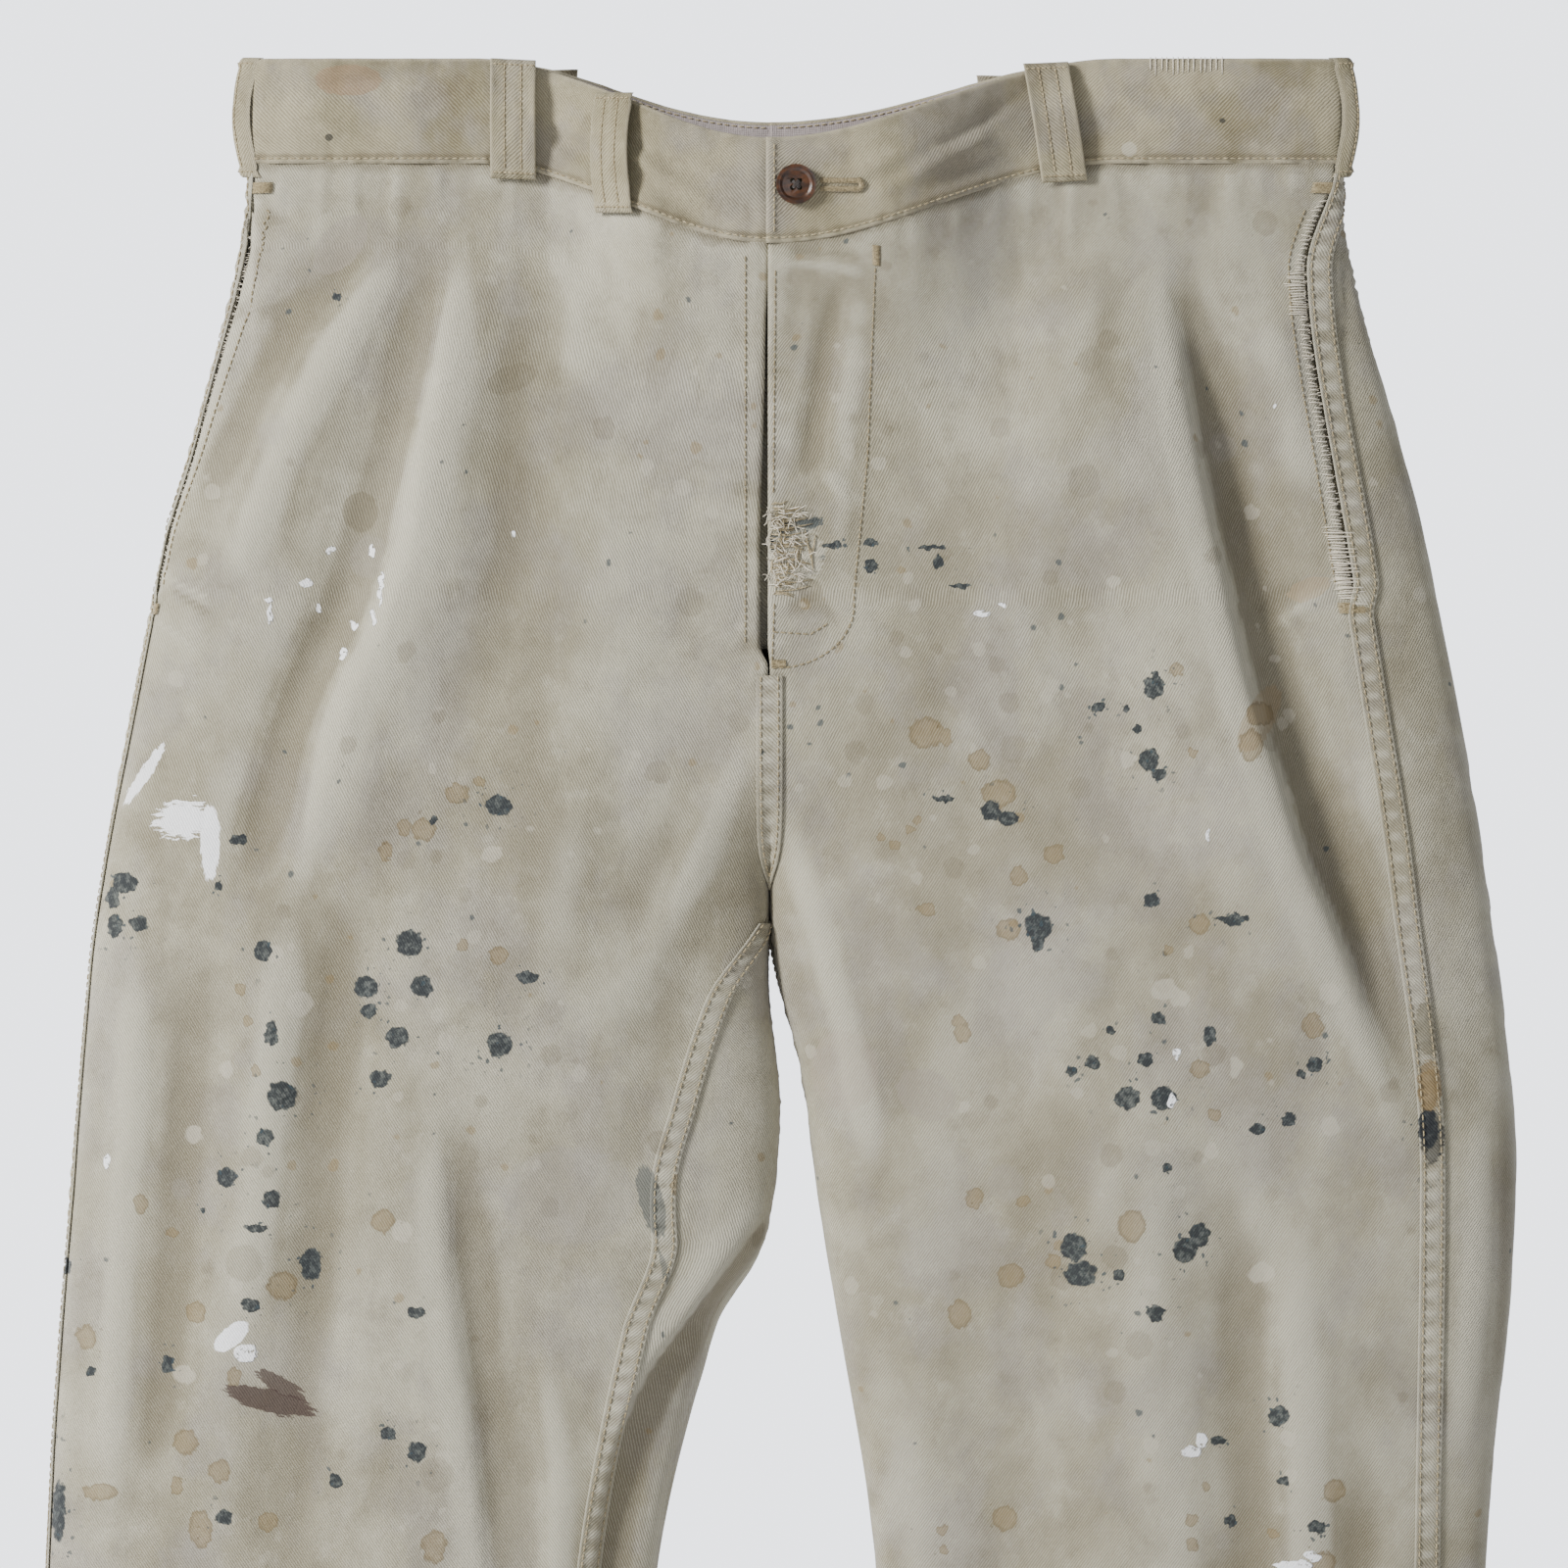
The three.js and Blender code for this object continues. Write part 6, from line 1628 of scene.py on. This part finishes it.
def mouth_stitching(side):
    """The row along the pocket's edge, and the tacks at its two ends."""
    z = np.arange(Z_MOUTH_TOP - 9, Z_MOUTH_FOOT + 9, -1.0)
    sewn(f"{side}_pocket_stitching", [stitch_row(*mouth_edge(side, z, 6.0, 0.1))], tan_thread)
    for end, place in (("top", Z_MOUTH_TOP), ("foot", Z_MOUTH_FOOT)):
        bars = []
        for k in range(9):
            spot = np.array([place + (k - 4) * 0.5])
            girth = outseam_girth(side, spot)
            line = np.array([walked(side, girth, spot, d)[0] for d in np.linspace(-9, 5, 5)])
            level = sagged(side, line, np.full(5, spot[0]))
            bars.append((surface(side, line, level, 0.9), skin_normal(side, line, level)[2]))
        piece = hand_sewn(f"{side}_pocket_{end}_bartack", bars, tan_thread, 0.7)
        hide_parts(f"{side}_pocket_{end}_tack")


# ------------------------------------------------------------------ buttonhole
def buttonhole():
    """Close stitches all round the slot, thicker at its rounded end."""
    low, high = corners("buttonhole_stitching")
    middle = (low[2] + high[2]) / 2
    bars = []
    run = np.linspace(low[0] + 0.5, high[0] - 2.2, 30)
    for way in (1, -1):
        for x in run:
            girth = float(girth_at("left", x, np.array(Z_SEAM), False))
            up = skin_normal("left", girth, Z_BAND_MIDDLE)
            front = high[1] - 0.75
            points = [[x, front, middle + way * r] for r in (0.5, 0.9, 1.7, 2.5, 3.0)]
            bars.append((np.array(points) + np.outer([0.1, 0.3, 0.45, 0.3, 0.0], up), up))
    for a in np.linspace(-1.4, 1.4, 11):
        reach = np.array([0.7, 1.2, 2.0, 2.7, 3.2])
        points = np.stack([high[0] - 2.6 + reach * math.cos(a), np.full(5, high[1] - 0.9),
                           middle + reach * math.sin(a)], -1)
        bars.append((points + np.outer([0.1, 0.3, 0.45, 0.3, 0.0], [0, -1, 0]), np.array([0, -1, 0])))
    piece = hand_sewn("buttonhole_threads", bars, tan_thread, 0.55)
    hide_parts("buttonhole_stitching")


# ------------------------------------------------------------------ buttons and zip
def hard(name, finish, body, stands_for, turn, place, bevel=0.22):
    """Finishes the active object as a hard piece: bevelled, put in its place, with its origin at 0."""
    piece = bpy.context.active_object
    piece.name = name
    soft = piece.modifiers.new("edges", "BEVEL")
    soft.width = bevel * MM
    soft.segments = 2
    soft.limit_method = "ANGLE"
    soft.angle_limit = math.radians(30)
    bpy.ops.object.modifier_apply(modifier=soft.name)
    piece.data.transform(Matrix.Translation(Vector(place) * MM) @ turn.to_4x4())
    piece.matrix_world = Matrix.Identity(4)
    bpy.ops.object.shade_smooth_by_angle(angle=math.radians(40))
    piece.data.materials.clear()
    piece.data.materials.append(finish)
    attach(piece, body)
    if stands_for:
        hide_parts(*stands_for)
    return piece


BUTTON_THICK, RIM, RIM_SLOPE, DISH_DEPTH = 2.6, 1.5, 1.1, 0.85
HOLE_RING, HOLE_RADIUS = 2.1, 1.05


def horn_button(name, diameter, place, axis, body):
    """A turned button: a flat rim round a dish with four holes, and crossed threads through them."""
    turn = Vector(axis).to_track_quat("Z", "Y").to_matrix()
    bpy.ops.object.select_all(action="DESELECT")
    bpy.ops.mesh.primitive_cylinder_add(vertices=72, radius=diameter / 2 * MM, depth=BUTTON_THICK * MM,
                                        location=(0, 0, BUTTON_THICK / 2 * MM))
    disc = bpy.context.active_object
    bpy.ops.object.transform_apply(location=True, rotation=True, scale=True)
    bpy.ops.object.mode_set(mode="EDIT")
    bpy.ops.mesh.select_mode(type="FACE")
    bpy.ops.mesh.select_all(action="DESELECT")
    bpy.ops.object.mode_set(mode="OBJECT")
    for face in disc.data.polygons:
        face.select = face.normal.z > 0.9
    bpy.ops.object.mode_set(mode="EDIT")
    bpy.ops.mesh.inset(thickness=RIM * MM)
    bpy.ops.mesh.inset(thickness=RIM_SLOPE * MM)
    bpy.ops.transform.translate(value=(0, 0, -DISH_DEPTH * MM))
    bpy.ops.mesh.select_all(action="DESELECT")
    bpy.ops.object.mode_set(mode="OBJECT")
    angles = [math.pi / 4 + k * math.pi / 2 for k in range(4)]
    cutters = []
    for angle in angles:
        bpy.ops.object.select_all(action="DESELECT")
        hole = (HOLE_RING * math.cos(angle) * MM, HOLE_RING * math.sin(angle) * MM, 0)
        bpy.ops.mesh.primitive_cylinder_add(vertices=20, radius=HOLE_RADIUS * MM, depth=8 * MM, location=hole)
        cutters.append(bpy.context.active_object)
    for cutter in cutters:
        bpy.ops.object.select_all(action="DESELECT")
        disc.select_set(True)
        bpy.context.view_layer.objects.active = disc
        cut = disc.modifiers.new("hole", "BOOLEAN")
        cut.operation = "DIFFERENCE"
        cut.object = cutter
        bpy.ops.object.modifier_apply(modifier=cut.name)
        bpy.data.objects.remove(cutter)
    hard(f"{name}_horn", horn, body, [name], turn, place)
    reach = np.array([0.05, 0.7, 1.2, 1.75, 2.0])[:, None]
    height = BUTTON_THICK - np.array([0.2, 0.3, 0.45, 0.9, 2.2])[:, None]
    bars = []
    for angle in angles:
        way = np.array([math.cos(angle), math.sin(angle), 0])
        for off in (-0.3, 0.1, 0.45):
            aside = np.array([-way[1], way[0], 0]) * off
            points = aside + way * reach + np.array([0, 0, 1]) * height
            bars.append((points @ np.array(turn).T + place, np.array(axis, float)))
    hand_sewn(f"{name}_cross_threads", bars, dark_thread, 0.5, "dark_thread", body=body)


WOUND_RADIUS = 1.05


def shank(name, body, outward):
    """The thread wound round a button's shank, between the button and the cloth."""
    low, high = corners(f"{name}_thread")
    middle = (low + high) / 2
    near_button = high[1] if outward > 0 else low[1]
    t = np.linspace(0, 2 * np.pi, 9)
    turns = [near_button - outward * (0.2 + 0.32 * k) + 0.03 * t for k in range(3)]
    x, z = middle[0] + WOUND_RADIUS * np.cos(t), middle[2] + WOUND_RADIUS * np.sin(t)
    paths = np.array([np.stack([x, y, z], -1) for y in turns])
    ups = np.zeros_like(paths)
    ups[..., 1] = outward
    tubes(f"{name}_wound_thread", paths, ups, 0.5, dark_thread, "dark_thread", body=body)


def finish_packed_pieces():
    """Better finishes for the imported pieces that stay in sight."""
    for nodes, finish in (
            (("zip_slider", "zip_pull", "zip_bottom_stop", "zip_top_stop_left", "zip_top_stop_right",
              "zip_teeth_left", "zip_teeth_right"), brass),
            (("zip_tape_left", "zip_tape_right"), tape_cloth),
            (("waist_button_thread", "back_pocket_button_thread"), dark_thread)):
        for node in nodes:
            for place in bpy.data.objects[node].material_slots:
                place.material = finish


# ------------------------------------------------------------------ the pieces
for half_name in HALVES:
    front_panel(half_name)
    back_panel(half_name)
    waistband(half_name)
    outseam(half_name)
    inseam(half_name)
    hem(half_name)
    pocket_bag(half_name)
    pocket_facing(half_name)
    mouth_stitching(half_name)
    back_bag(half_name)
    back_welt(half_name)
underlap()
fly_front()
flat_layer("fly_facing_cloth", "fly_facing", twill["left"], "twill", 0.2)
flat_layer("fly_shield_cloth", "fly_shield", twill["right"], "twill", 0.3)
fly_darn()
pocket_darning()
buttonhole()
finish_packed_pieces()
low, high = corners("waist_button")
horn_button("waist_button", high[0] - low[0], ((low[0] + high[0]) / 2, high[1], (low[2] + high[2]) / 2),
            (0, -1, 0), "waist_button_body")
low, high = corners("back_pocket_button")
z_back_button = Z_BACK_MOUTH - 19
back_axis = skin_normal("left", girth_at("left", 115.0, z_back_button, True), np.array(z_back_button))
back_place = (low + high) / 2 - back_axis * BUTTON_THICK / 2
horn_button("back_pocket_button", 14.0, tuple(back_place), tuple(back_axis), "back_pocket_button_body")
shank("waist_button", "waist_button_body", -1)
shank("back_pocket_button", "back_pocket_button_body", 1)
for loop_name in LOOPS:
    belt_loop(loop_name)
below_fly = np.arange(Z_FLY_FOOT - 3, Z_CROTCH + 6, -1.0)
centre_strip("crotch_seam_strip", below_fly, False, "crotch_seam", twill["left"])
down_seat = np.arange(Z_SEAM - 4, Z_CROTCH + 6, -1.2)
centre_strip("seat_seam_strip", down_seat, True, "seat_seam", twill_back)


# ------------------------------------------------------------------ the stage
FLOOR_DROP = 0.03                                     # the trousers hang this far over the floor, m
LIT_PLACE = (0, 0, -0.42)
WARM = (1.0, 0.99, 0.97)


def area_light(name, place, size, power, colour):
    """A lamp turned to the middle of the trousers."""
    lamp = bpy.data.lights.new(name, "AREA")
    lamp.shape = "RECTANGLE"
    lamp.size, lamp.size_y = size
    lamp.energy = power
    lamp.color = colour
    rig = bpy.data.objects.new(name, lamp)
    rig.location = place
    rig.rotation_euler = (Vector(LIT_PLACE) - Vector(place)).to_track_quat("-Z", "Y").to_euler()
    bpy.context.scene.collection.objects.link(rig)


def floor():
    """A plain pale floor below the trousers."""
    mesh = bpy.data.meshes.new("floor")
    low = cad_low[2] - FLOOR_DROP
    mesh.from_pydata([(x, y, low) for x, y in ((-5, -5), (5, -5), (5, 3.2), (-5, 3.2))], [], [(0, 1, 2, 3)])
    pale = Finish("floor", roughness=0.8)
    pale.set("Base Color", (*srgb(226, 226, 230), 1.0))
    mesh.materials.append(pale.material)
    ground = bpy.data.objects.new("floor", mesh)
    bpy.context.scene.collection.objects.link(ground)


WORLD_FRONT, WORLD_BEHIND = 0.3, 3.5                  # strength of the studio's light
BEHIND_FROM, BEHIND_FULL = 0.9, 0.984                 # the strong part lies straight behind


def studio_world():
    """Pale behind the object, and dimmer in front, where the lamps light it from the left."""
    studio = bpy.data.worlds.new("studio")
    studio.use_nodes = True
    tree = studio.node_tree
    shine = tree.nodes["Background"]
    shine.inputs["Color"].default_value = (*srgb(226, 229, 236), 1.0)
    where = tree.nodes.new("ShaderNodeTexCoord")
    split = tree.nodes.new("ShaderNodeSeparateXYZ")
    behind = tree.nodes.new("ShaderNodeMapRange")
    behind.interpolation_type = "SMOOTHSTEP"
    behind.inputs["From Min"].default_value = BEHIND_FROM
    behind.inputs["From Max"].default_value = BEHIND_FULL
    behind.inputs["To Min"].default_value = WORLD_FRONT
    behind.inputs["To Max"].default_value = WORLD_BEHIND
    tree.links.new(where.outputs["Generated"], split.inputs[0])
    tree.links.new(split.outputs["Y"], behind.inputs["Value"])
    tree.links.new(behind.outputs[0], shine.inputs["Strength"])
    bpy.context.scene.world = studio


floor()
studio_world()
area_light("key", (-3.1, -2.3, 1.3), (0.8, 1.5), 300, WARM)
area_light("fill", (1.2, -3.4, 0.6), (1.8, 1.6), 18, (0.95, 0.97, 1.0))
area_light("behind left", (-2.4, 1.9, 0.9), (1.4, 1.4), 70, WARM)
area_light("behind right", (2.6, 1.5, 0.6), (1.4, 1.4), 30, (0.96, 0.98, 1.0))

CAMERA_DISTANCE, VIEW_WIDTH = 3000, 656               # mm, and what the view takes in across at that distance
camera = bpy.data.cameras.new("camera")
camera.lens = 36 * CAMERA_DISTANCE / VIEW_WIDTH
camera.clip_end = 30
stand = bpy.data.objects.new("camera", camera)
stand.location = (-0.005, -CAMERA_DISTANCE / 1000, -0.303)
stand.rotation_euler = (math.radians(90), 0, 0)
bpy.context.scene.collection.objects.link(stand)
bpy.context.scene.camera = stand
